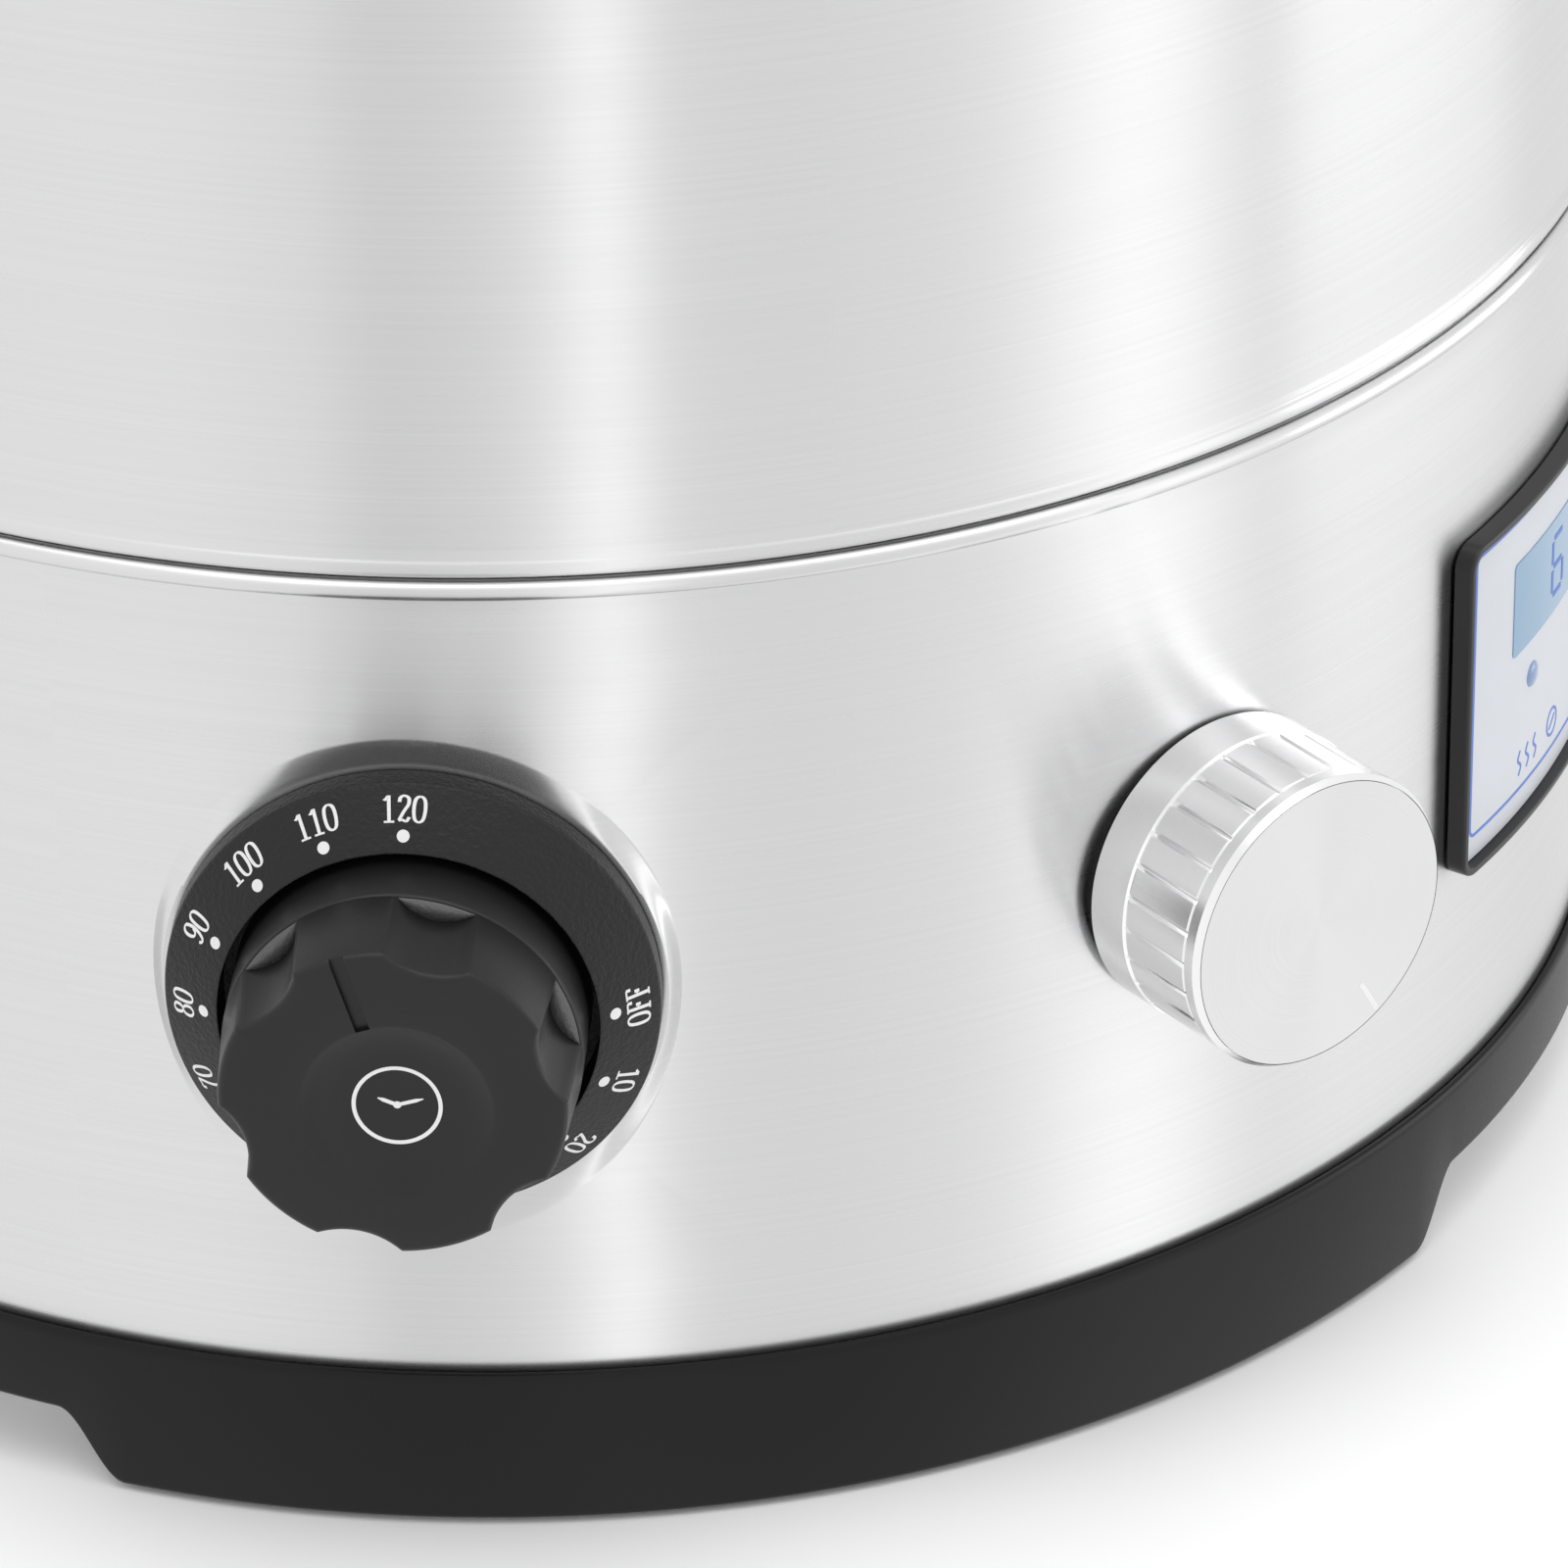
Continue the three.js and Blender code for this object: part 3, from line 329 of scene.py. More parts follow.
class Nodes(Graph):
    """A material's node tree."""

    def __init__(self, name):
        self.material = bpy.data.materials.new(name)
        self.material.use_nodes = True
        super().__init__(self.material.node_tree)
        self.shader = self.tree.nodes["Principled BSDF"]

    def object_place(self):
        return self.add("ShaderNodeTexCoord").outputs["Object"]

    def noise(self, place, scale, detail, roughness=0.5):
        inputs = {"Vector": place, "Scale": scale, "Detail": detail, "Roughness": roughness}
        return self.add("ShaderNodeTexNoise", inputs).outputs["Fac"]

    def set(self, **values):
        for key, value in values.items():
            self.shader.inputs[key.replace("_", " ")].default_value = value

    def link(self, output, socket):
        self.tree.links.new(output, self.shader.inputs[socket])

    def spread(self, factor, low, high):
        """Maps 0..1 to low..high."""
        node = self.add("ShaderNodeMapRange", {"Value": factor, "To Min": low, "To Max": high})
        return node.outputs["Result"]

    def mix(self, factor, first, second):
        node = self.add("ShaderNodeMix", data_type="RGBA")
        self.tree.links.new(factor, node.inputs["Factor"])
        node.inputs[6].default_value = (*first, 1)
        node.inputs[7].default_value = (*second, 1)
        return node.outputs[2]

    def bump(self, height, strength, distance):
        node = self.add("ShaderNodeBump", {"Height": height, "Strength": strength, "Distance": distance})
        self.link(node.outputs["Normal"], "Normal")


def brushed_metal(name, colour, roughness, stretch=(3.0, 1500.0), relief=0.2, anisotropy=0.8, tone=0.06):
    """Metal brushed along the first direction of the piece's UV map."""
    n = Nodes(name)
    uv = n.add("ShaderNodeUVMap").outputs["UV"]
    thin = n.add("ShaderNodeMapping", {"Vector": uv, "Scale": (*stretch, 1)}).outputs["Vector"]
    wide = n.add("ShaderNodeMapping", {"Vector": uv, "Scale": (stretch[0] * 2, stretch[1] / 9, 1)})
    fine = n.noise(thin, 1.0, 6.0, 0.7)
    coarse = n.noise(wide.outputs["Vector"], 1.0, 3.0)
    n.set(Metallic=1.0, Anisotropic=anisotropy, Anisotropic_Rotation=0.25)
    dark = tuple(c * (1 - tone) for c in colour)
    light = tuple(min(1.0, c * (1 + tone)) for c in colour)
    n.link(n.mix(fine, dark, light), "Base Color")
    n.link(n.spread(coarse, roughness * 0.88, roughness * 1.12), "Roughness")
    n.bump(fine, relief, 0.00002)
    n.link(n.add("ShaderNodeTangent", direction_type="UV_MAP").outputs["Tangent"], "Tangent")
    return n.material


def moulded(name, colour, roughness, grain=2500.0, relief=0.25, specular=0.5, depth=0.00006, coat=0.0):
    """Plastic or rubber with a fine moulded grain."""
    n = Nodes(name)
    place = n.object_place()
    fine = n.noise(place, grain, 2.0, 0.6)
    wide = n.noise(place, 35.0, 3.0)
    n.set(Specular_IOR_Level=specular, Coat_Weight=coat)
    dark = tuple(c * 0.9 for c in colour)
    light = tuple(min(1.0, c * 1.1) for c in colour)
    n.link(n.mix(wide, dark, light), "Base Color")
    n.link(n.spread(fine, roughness * 0.85, roughness * 1.15), "Roughness")
    n.bump(fine, relief, depth)
    return n.material


def plain_metal(name, colour, roughness, grain=400.0):
    """Rolled sheet or cast metal, with faint mottling."""
    n = Nodes(name)
    place = n.object_place()
    fine = n.noise(place, grain, 4.0)
    wide = n.noise(place, 30.0, 3.0)
    n.set(Metallic=1.0)
    n.link(n.mix(wide, tuple(c * 0.93 for c in colour), colour), "Base Color")
    n.link(n.spread(fine, roughness * 0.8, roughness * 1.2), "Roughness")
    n.bump(fine, 0.08, 0.00005)
    return n.material


skirt_steel = brushed_metal("skirt steel", (0.66, 0.66, 0.665), 0.27, anisotropy=0.88)
drum_steel = brushed_metal("drum steel", (0.66, 0.66, 0.665), 0.27, anisotropy=0.88)
lid_steel = brushed_metal("lid steel", (0.66, 0.66, 0.665), 0.3)
# The knob's front is the same aluminium as its side but painted darker: painted shade, toning down the
# bright light it mirrors.
shaded_spun_face = brushed_metal("spun aluminium with painted shade", (0.63, 0.63, 0.635), 0.22, (2.0, 5000.0), 0.25, 0.9, 0.07)
turned_edge = brushed_metal("turned aluminium", (0.84, 0.84, 0.845), 0.2, (4.0, 4000.0), 0.15, 0.7, 0.04)
sheet_steel = plain_metal("sheet steel", (0.6, 0.6, 0.61), 0.34)
wire_steel = plain_metal("wire steel", (0.68, 0.68, 0.69), 0.22)
screw_steel = plain_metal("screw steel", (0.55, 0.55, 0.56), 0.3)
ring_plastic = moulded("ring plastic", (0.0035, 0.0035, 0.0037), 0.36, 1800, 0.12, 0.22)
dial_plastic = moulded("dial plastic", (0.005, 0.005, 0.0052), 0.4, 1500, 0.9, 0.35, 0.00022)
knob_plastic = moulded("knob plastic", (0.008, 0.008, 0.0083), 0.38, 2000, 0.2, 0.35)
shelf_plastic = moulded("textured plastic", (0.1, 0.1, 0.101), 0.5, 1500, 0.9, 0.5, 0.0002)
bezel_plastic = moulded("bezel plastic", (0.01, 0.01, 0.0105), 0.3, 1500, 0.1, 0.4)
handle_plastic = moulded("handle plastic", (0.014, 0.014, 0.0145), 0.42, 1400, 0.25, 0.4)
fan_plastic = moulded("fan plastic", (0.02, 0.02, 0.021), 0.5, 900, 0.1, 0.4)
foot_rubber = moulded("foot rubber", (0.012, 0.012, 0.012), 0.8, 900, 0.3, 0.3)
washer_rubber = moulded("washer rubber", (0.008, 0.008, 0.008), 0.7, 900, 0.3, 0.25)
print_white = moulded("white print", (0.7, 0.7, 0.7), 0.5, 3000, 0.1)
print_blue = moulded("blue print", (0.09, 0.17, 0.5), 0.5, 3000, 0.1)
label_film = moulded("label film", (0.52, 0.54, 0.575), 0.42, 3000, 0.1, 0.3)
timer_cream = moulded("timer housing", (0.72, 0.7, 0.62), 0.5, 600, 0.15)
mica_board = moulded("mica board", (0.55, 0.45, 0.3), 0.7, 500, 0.4)
board_green = moulded("circuit board", (0.02, 0.16, 0.07), 0.4, 300, 0.2)
lead_brown = moulded("brown lead", (0.14, 0.06, 0.03), 0.5, 700, 0.1)
lead_white = moulded("white lead", (0.78, 0.78, 0.74), 0.5, 700, 0.1)
motor_metal = plain_metal("motor metal", (0.34, 0.35, 0.37), 0.4)
heater_metal = plain_metal("heater sheath", (0.13, 0.12, 0.11), 0.5)
pin_brass = plain_metal("pin brass", (0.8, 0.6, 0.3), 0.28)


def display_glass():
    """A lit blue display behind a clear window, with faint cells."""
    n = Nodes("display window")
    place = n.object_place()
    cells = n.add("ShaderNodeTexBrick", {
        "Vector": place, "Scale": 900.0, "Mortar Size": 0.03, "Color1": (0.16, 0.32, 0.48, 1),
        "Color2": (0.17, 0.33, 0.49, 1), "Mortar": (0.14, 0.29, 0.45, 1),
    })
    n.link(n.mix(n.noise(place, 60.0, 2.0), (0.09, 0.22, 0.36), (0.15, 0.28, 0.42)), "Base Color")
    n.set(Roughness=0.12, Coat_Weight=0.6, Coat_Roughness=0.03, Emission_Strength=0.04)
    n.link(cells.outputs["Color"], "Emission Color")
    return n.material


def lamp_lens():
    n = Nodes("lamp lens")
    fine = n.noise(n.object_place(), 300.0, 2.0)
    n.link(n.mix(fine, (0.13, 0.2, 0.36), (0.2, 0.28, 0.46)), "Base Color")
    n.set(Roughness=0.15, Coat_Weight=0.5)
    return n.material


window_glass = display_glass()
lens = lamp_lens()


def dress(piece, material, body, *replaced, slot=None):
    """Gives a piece its material and says what it rides on and which CAD nodes it stands for."""
    piece.data.materials.clear()
    piece.data.materials.append(material)
    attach(piece, body)
    if replaced:
        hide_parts(*replaced)
    return piece


# ------------------------------------------------------------------ camera, light and floor


def make_camera():
    data = bpy.data.cameras.new("camera")
    data.sensor_width = 36
    data.lens = 225
    data.clip_start, data.clip_end = 0.01, 50
    camera = new_object("camera", data)
    pitch, roll, swing = 0.5301, -0.012, math.radians(-16.6)
    reach = Vector((0.2405, -8.0423, 4.7102)) * SKIRT_RADIUS
    turn = Matrix.Rotation(swing, 3, "Z")
    right = Vector((1, 0, 0))
    up = Vector((0, math.sin(pitch), math.cos(pitch)))
    back = right.cross(up)
    tilted_right = right * math.cos(roll) + up * math.sin(roll)
    tilted_up = up * math.cos(roll) - right * math.sin(roll)
    basis = Matrix((turn @ tilted_right, turn @ tilted_up, turn @ back)).transposed()
    place = turn @ reach + Vector((0, AXIS_Y, RING_HEIGHT))
    camera.matrix_world = Matrix.Translation(place * MM) @ basis.to_4x4()
    bpy.context.scene.camera = camera


WALL_STRENGTH = 1.6
# Azimuth from the front, positive to the right, and brightness of the studio there.
WALL_BRIGHTNESS = [
    (-180, 0.68), (-66, 0.699), (-59, 0.706), (-53, 0.706), (-47, 0.699), (-41, 0.671), (-35, 0.664),
    (-30, 0.566), (-24, 0.597), (-18, 0.623), (-12, 0.7), (-6, 1.0), (0, 0.63), (5, 0.63),
    (14, 0.623), (23, 0.644), (30, 0.657), (36, 0.706), (42, 0.83), (49, 1.0), (56, 0.97),
    (64, 0.7), (71, 0.69), (80, 0.72), (89, 0.7), (99, 0.66), (111, 0.63), (180, 0.62),
]


def make_world():
    """A white studio whose walls change in brightness round the object."""
    world = bpy.data.worlds.new("studio")
    bpy.context.scene.world = world
    world.use_nodes = True
    graph = Graph(world.node_tree)
    place = graph.add("ShaderNodeTexCoord").outputs["Generated"]
    split = graph.add("ShaderNodeSeparateXYZ", {"Vector": place}).outputs
    azimuth = graph.maths("ARCTAN2", split["X"], graph.maths("MULTIPLY", split["Y"], -1))
    share = graph.add("ShaderNodeMapRange", {"Value": azimuth, "From Min": -math.pi, "From Max": math.pi})
    ramp = graph.add("ShaderNodeValToRGB", {"Fac": share.outputs["Result"]})
    stops = ramp.color_ramp.elements
    while len(stops) < len(WALL_BRIGHTNESS):
        stops.new(0.5)
    for stop, (at, level) in zip(stops, WALL_BRIGHTNESS):
        stop.position = (at + 180) / 360
        stop.color = (level, level, level, 1)
    back = world.node_tree.nodes["Background"]
    graph.tree.links.new(ramp.outputs["Color"], back.inputs["Color"])
    back.inputs["Strength"].default_value = WALL_STRENGTH


def soft_light(name, place, target, size, power):
    data = bpy.data.lights.new(name, "AREA")
    data.shape = "RECTANGLE"
    data.size, data.size_y = size
    data.energy = power
    light = new_object(name, data)
    light.location = place
    light.rotation_euler = (Vector(target) - Vector(place)).to_track_quat("-Z", "Y").to_euler()


def make_floor():
    bm = bmesh.new()
    bmesh.ops.create_circle(bm, cap_ends=True, radius=6.0, segments=96)
    floor = new_object("floor", new_mesh(bm, "floor"))
    n = Nodes("floor")
    fine = n.noise(n.object_place(), 3.0, 2.0)
    n.link(n.mix(fine, (0.9, 0.9, 0.9), (0.92, 0.92, 0.92)), "Base Color")
    n.set(Roughness=0.9, Specular_IOR_Level=0.1)
    floor.data.materials.append(n.material)
    floor.visible_glossy = False  # the metal mirrors the studio's soft walls, not the floor


make_camera()
make_world()
make_floor()
soft_light("top light", (0.0, 0.0, 2.2), (0, 0, 0), (2.4, 2.4), 22)
soft_light("side light", (1.3, -0.25, 0.12), (0, 0, 0.05), (0.8, 0.6), 3)
bpy.context.scene.view_settings.view_transform = "Standard"

# ------------------------------------------------------------------ skirt


def skirt_surface():
    """The skirt as one sheet: a grid all round, with a patch of rings where the timer's seat is pressed."""
    reach, parts = 44.0, 48
    step = 2 * reach / parts
    across = [-reach + step * i for i in range(parts + 1)]
    timer_turn = math.radians(-CONTROL_ANGLE)
    patch_angles = [timer_turn + math.asin(x / SKIRT_RADIUS) for x in across]
    rest = 2 * math.pi - (patch_angles[-1] - patch_angles[0])
    others = 260
    angles = patch_angles + [patch_angles[-1] + rest * i / others for i in range(1, others)]
    patch_heights = [CONTROL_HEIGHT + x for x in across]
    heights = [(SKIRT_RADIUS, 20.6), (SKIRT_RADIUS, 24), (SKIRT_RADIUS, 29)]
    heights += [(SKIRT_RADIUS, z) for z in patch_heights]
    heights += [(SKIRT_RADIUS, 126.0), (SKIRT_RADIUS, 130.0), (SKIRT_RADIUS, 132.4), (145.05, 132.9)]
    for k in range(11):
        a = math.radians(-78 + 168 * k / 10)
        heights.append((144.9 + 1.25 * math.cos(a), 134.25 + 1.25 * math.sin(a)))
    heights.append((144.3, 135.45))
    first_row = 3
    bm = bmesh.new()
    layer = bm.loops.layers.uv.verify()
    uv_of = {}

    def vertex(x, y, z, u, v):
        made = bm.verts.new((x, y, z))
        uv_of[made] = (u * MM, v * MM)
        return made

    rows = []
    for j, (radius, z) in enumerate(heights):
        row = []
        for i, a in enumerate(angles):
            inside = 0 < i < parts and first_row < j < first_row + parts
            row.append(None if inside else vertex(
                radius * math.sin(a), -radius * math.cos(a), z, a * SKIRT_RADIUS, z))
        rows.append(row)
    count = len(angles)
    for j in range(len(rows) - 1):
        for i in range(count):
            n = (i + 1) % count
            corners = (rows[j][i], rows[j][n], rows[j + 1][n], rows[j + 1][i])
            if i < parts and first_row <= j < first_row + parts:
                continue
            bm.faces.new(corners)
    # Round the square's edge: the grid's own vertices, then rings that close in on the seat.
    low, high = first_row, first_row + parts
    edge = [rows[low][i] for i in range(parts)]
    edge += [rows[j][parts] for j in range(low, high)]
    edge += [rows[high][i] for i in range(parts, 0, -1)]
    edge += [rows[j][0] for j in range(high, low, -1)]
    square = [(x, -reach) for x in across[:-1]] + [(reach, x) for x in across[:-1]]
    square += [(x, reach) for x in across[:0:-1]] + [(-reach, x) for x in across[:0:-1]]
    seat = facing(-CONTROL_ANGLE, CONTROL_HEIGHT)
    back_to_drum = AXIS.inverted()

    def slope_width(x, y):
        """Wide above and below the dial, narrow beside it, where the flat seat stands proud."""
        return 1.4 + (2.5 if y > 0 else 3.8) * (y / math.hypot(x, y)) ** 2

    def place(x, y):
        distance = math.hypot(x, y)
        drum = math.sqrt(SKIRT_RADIUS**2 - x * x) - SKIRT_RADIUS
        share = min(1.0, max(0.0, (distance - SEAT_RADIUS) / slope_width(x, y)))
        share = 0.25 * share * share * (3 - 2 * share) + 0.75 * share
        depth = -SEAT_DEPTH * (1 - share) + drum * share
        point = back_to_drum @ seat @ Vector((x, y, depth))
        turn = timer_turn + math.asin(x / SKIRT_RADIUS)
        return vertex(*point, turn * SKIRT_RADIUS, CONTROL_HEIGHT + y)

    def at_radius(x, y, radius):
        scale = radius / math.hypot(x, y)
        return place(x * scale, y * scale)

    radii = [0.6, 0.2]  # shares of the way from the circle to the square
    rings = [edge]
    for share in radii:
        ring = []
        for x, y in square:
            scale = (SEAT_RADIUS + 1.2 * slope_width(x, y)) / math.hypot(x, y)
            ring.append(place(x * (share + scale * (1 - share)), y * (share + scale * (1 - share))))
        rings.append(ring)
    for share in (1.2, 1.06, 1.0, 0.94, 0.8, 0.6, 0.4, 0.2, 0.07, 0.0):
        rings.append([at_radius(x, y, SEAT_RADIUS + share * slope_width(x, y)) for x, y in square])
    for radius in (SEAT_RADIUS - 0.25, SEAT_RADIUS - 1, 25, 12, 5):
        rings.append([at_radius(x, y, radius) for x, y in square])
    bridge(bm, rings)
    # The sheet's turn is cut where the map would wrap round.
    whole = 2 * math.pi * SKIRT_RADIUS * MM
    for face in bm.faces:
        values = [uv_of[loop.vert] for loop in face.loops]
        highest = max(u for u, _ in values)
        for loop, (u, v) in zip(face.loops, values):
            loop[layer].uv = (u + whole if highest - u > whole / 2 else u, v)
    bmesh.ops.recalc_face_normals(bm, faces=bm.faces)
    probe = max(bm.faces, key=lambda f: f.calc_center_median().x)
    if probe.normal.x < 0:
        bmesh.ops.reverse_faces(bm, faces=bm.faces)
    return finish_mesh(bm, "skirt_shell", AXIS, outward=False, sharp=32)


skirt = skirt_surface()
wall = skirt.modifiers.new("wall", "SOLIDIFY")
wall.thickness = SHEET * MM
wall.offset = -1
baked(skirt)
dress(skirt, skirt_steel, "base", "skirt")

# ------------------------------------------------------------------ base ring


def ring_bottom(angle):
    """Height of the ring's underside: on the feet, or over a gap, with an S between."""
    nearest = min(abs((angle - gap + 180) % 360 - 180) for gap in GAPS)
    ease = 1.75
    share = min(1.0, max(0.0, (GAP_HALF + ease - nearest) / (2 * ease)))
    share = (1 - math.cos(math.pi * share)) / 2
    return 0.8 + share * 9.7


def standing(bm, profile, angle):
    """The vertices of a profile that stands at an angle round the axis."""
    return [bm.verts.new((p.x * math.sin(angle), -p.x * math.cos(angle), p.y)) for p in profile]


def ring_body():
    """The base ring, with a low edge whose height changes round the turn."""
    angles = []
    angle = 0.0
    while angle < 360:
        angles.append(angle)
        nearest = min(abs(abs((angle - gap + 180) % 360 - 180) - GAP_HALF) for gap in GAPS)
        angle += 0.2 if nearest < 2.6 else 1.0
    bm = bmesh.new()
    rings = []
    for angle in angles:
        low = ring_bottom(angle)
        profile = eased([
            (RING_INSIDE, low), (RING_RADIUS, low, 0.8), (RING_RADIUS, RING_HEIGHT, 1.3),
            (145.35, RING_HEIGHT, 0.2), (145.35, GROOVE_FLOOR), (143.9, GROOVE_FLOOR),
            (143.9, RING_HEIGHT + 1.4, 0.3),
            (141.9, RING_HEIGHT + 1.4, 0.3), (141.9, 18.0), (SOLE_INSIDE, 18.0), (SOLE_INSIDE, 15.0),
            (RING_INSIDE, 15.0),
        ], 4)
        rings.append(standing(bm, profile, math.radians(angle)))
    bridge(bm, rings, closed=True)
    return finish_mesh(bm, "ring_body", AXIS)


def foot_sole(middle):
    """The flat flange under one foot."""
    half = 60 - GAP_HALF - 1.9
    profile = eased([
        (RING_INSIDE + 0.5, 2.5), (RING_INSIDE + 0.5, 5.0), (SOLE_INSIDE, 5.0, 0.4),
        (SOLE_INSIDE, 2.5, 0.4),
    ], 2)
    bm = bmesh.new()
    rings = []
    steps = 60
    for k in range(steps + 1):
        rings.append(standing(bm, profile, math.radians(middle - half + 2 * half * k / steps)))
    bridge(bm, rings)
    bm.faces.new(rings[0])
    bm.faces.new(rings[-1])
    return finish_mesh(bm, f"sole_{middle}", AXIS)


base_ring = join_objects("base_ring_body", [ring_body()] + [foot_sole(m) for m in FEET])
dress(base_ring, ring_plastic, "base", "base_ring")


def screw(name, place, head=4.0, rise=2.0):
    """A pan-head screw with a cross recess; its head points along +Z of the frame."""
    profile = [(0, 0), (head, 0, 0.2), (head, rise * 0.4), (head * 0.72, rise * 0.9, 0.8), (0, rise)]
    body = turned(name, profile, 48, place, closed=False)
    cross = [block(f"{name}_slot_{k}", (-head * 0.5, -0.4, rise * 0.35), (head * 0.5, 0.4, rise + 1),
                   place @ Matrix.Rotation(math.pi / 2 * k, 4, "Z")) for k in (0, 1)]
    return carve(body, cross)


for k, foot in enumerate(FEET):
    pad = turned(f"foot_pad_{k + 1}", [
        (0, 0.25), (4.2, 0.25, 0.3), (4.6, 0, 0.3), (7.0, 0, 0.5), (7.5, 0.5, 0.3), (7.5, 2.2), (2.2, 2.2),
        (2.2, 5.0), (0, 5.0),
    ], 64, on_circle(134.0, foot), closed=False)
    dress(pad, foot_rubber, "base", f"rubber_foot_{k + 1}")

turn_down = Matrix.Rotation(math.pi, 4, "X")
for k, gap in enumerate(GAPS):
    head = screw(f"plate_screw_{k + 1}", on_circle(134.25, gap, 13.4) @ turn_down)
    dress(head, screw_steel, "base", f"bottom_screw_{k + 1}")

# ------------------------------------------------------------------ timer dial

timer_frame = facing(-CONTROL_ANGLE, CONTROL_HEIGHT)
DIAL_RADIUS, DIAL_HOLE, DIAL_EDGE, DIAL_CROWN = 30.45, 23.35, 2.2, 7.5


def dial_rise(radius):
    """Height of the dial's cone over the skirt's surface."""
    return DIAL_CROWN - (radius - DIAL_HOLE) / (DIAL_RADIUS - DIAL_HOLE) * (DIAL_CROWN - DIAL_EDGE)


dial = turned("timer_dial_ring", [
    (5.0, -0.9), (DIAL_RADIUS, -0.9, 0.3), (DIAL_RADIUS, DIAL_EDGE, 0.35), (DIAL_HOLE, DIAL_CROWN, 0.45),
    (DIAL_HOLE, 0.6), (5.0, 0.6),
], 256, timer_frame, sharp=40)
dress(dial, dial_plastic, "base", "timer_dial")

PEN_WIDE, PEN_THIN = 0.105, 0.035
# Strokes of each sign, in shares of its height.
GLYPHS = {
    "0": [[(0.25, 0.96), (0.41, 0.85), (0.46, 0.5), (0.41, 0.15), (0.25, 0.04), (0.09, 0.15), (0.04, 0.5),
           (0.09, 0.85), (0.25, 0.96)]],
    "1": [[(0.1, 0.8), (0.18, 0.86), (0.25, 0.95)], [(0.27, 0.97), (0.27, 0.5), (0.27, 0.03)],
          [(0.07, 0.035), (0.27, 0.035), (0.47, 0.035)]],
    "2": [[(0.08, 0.74), (0.12, 0.9), (0.26, 0.965), (0.41, 0.88), (0.41, 0.66), (0.26, 0.42), (0.08, 0.1)],
          [(0.06, 0.07), (0.2, 0.1), (0.35, 0.05), (0.46, 0.2)]],
    "3": [[(0.08, 0.78), (0.14, 0.92), (0.27, 0.965), (0.39, 0.87), (0.38, 0.64), (0.22, 0.54)],
          [(0.22, 0.54), (0.4, 0.47), (0.43, 0.24), (0.3, 0.05), (0.14, 0.06), (0.07, 0.22)]],
    "4": [[(0.35, 0.97), (0.35, 0.5), (0.35, 0.03)], [(0.35, 0.95), (0.18, 0.6), (0.04, 0.3)],
          [(0.04, 0.29), (0.25, 0.29), (0.48, 0.29)], [(0.22, 0.035), (0.35, 0.035), (0.48, 0.035)]],
    "5": [[(0.12, 0.96), (0.28, 0.93), (0.42, 0.96)], [(0.12, 0.95), (0.11, 0.75), (0.1, 0.53)],
          [(0.1, 0.53), (0.26, 0.62), (0.42, 0.5), (0.43, 0.24), (0.3, 0.05), (0.14, 0.06), (0.07, 0.2)]],
    "6": [[(0.42, 0.84), (0.32, 0.96), (0.17, 0.88), (0.06, 0.6), (0.06, 0.3), (0.15, 0.07), (0.3, 0.04),
           (0.43, 0.16), (0.44, 0.38), (0.34, 0.55), (0.18, 0.53), (0.08, 0.38)]],
    "7": [[(0.05, 0.78), (0.1, 0.92), (0.25, 0.91), (0.46, 0.94)],
          [(0.46, 0.94), (0.32, 0.62), (0.22, 0.3), (0.2, 0.03)]],
    "8": [[(0.25, 0.965), (0.4, 0.88), (0.39, 0.66), (0.25, 0.54), (0.11, 0.64), (0.1, 0.87),
           (0.25, 0.965)],
          [(0.25, 0.54), (0.42, 0.42), (0.43, 0.16), (0.25, 0.035), (0.07, 0.16), (0.08, 0.42),
           (0.25, 0.54)]],
    "9": [[(0.08, 0.16), (0.18, 0.04), (0.33, 0.12), (0.44, 0.4), (0.44, 0.7), (0.35, 0.93), (0.2, 0.96),
           (0.07, 0.84), (0.06, 0.62), (0.16, 0.45), (0.32, 0.47), (0.42, 0.62)]],
    "F": [[(0.14, 0.97), (0.14, 0.5), (0.14, 0.03)], [(0.02, 0.965), (0.25, 0.965), (0.46, 0.965)],
          [(0.46, 0.965), (0.46, 0.88), (0.46, 0.78)], [(0.14, 0.52), (0.22, 0.52), (0.32, 0.52)],
          [(0.32, 0.62), (0.32, 0.52), (0.32, 0.42)], [(0.02, 0.035), (0.14, 0.035), (0.28, 0.035)]],
}
GLYPHS["O"] = GLYPHS["0"]


def smooth_line(points, steps=6):
    """Catmull-Rom curve through the points."""
    pts = [Vector(p) for p in points]
    loop = (pts[0] - pts[-1]).length < 1e-6
    out = []
    for i in range(len(pts) - 1):
        before = pts[i - 1] if i else (pts[-2] if loop else pts[0] * 2 - pts[1])
        after = pts[i + 2] if i + 2 < len(pts) else (pts[1] if loop else pts[-1] * 2 - pts[-2])
        for k in range(steps):
            t = k / steps
            a, b, c, d = before, pts[i], pts[i + 1], after
            out.append(0.5 * (2 * b + (c - a) * t + (2 * a - 5 * b + 4 * c - d) * t * t
                              + (3 * b - a - 3 * c + d) * t**3))
    out.append(pts[-1])
    return out


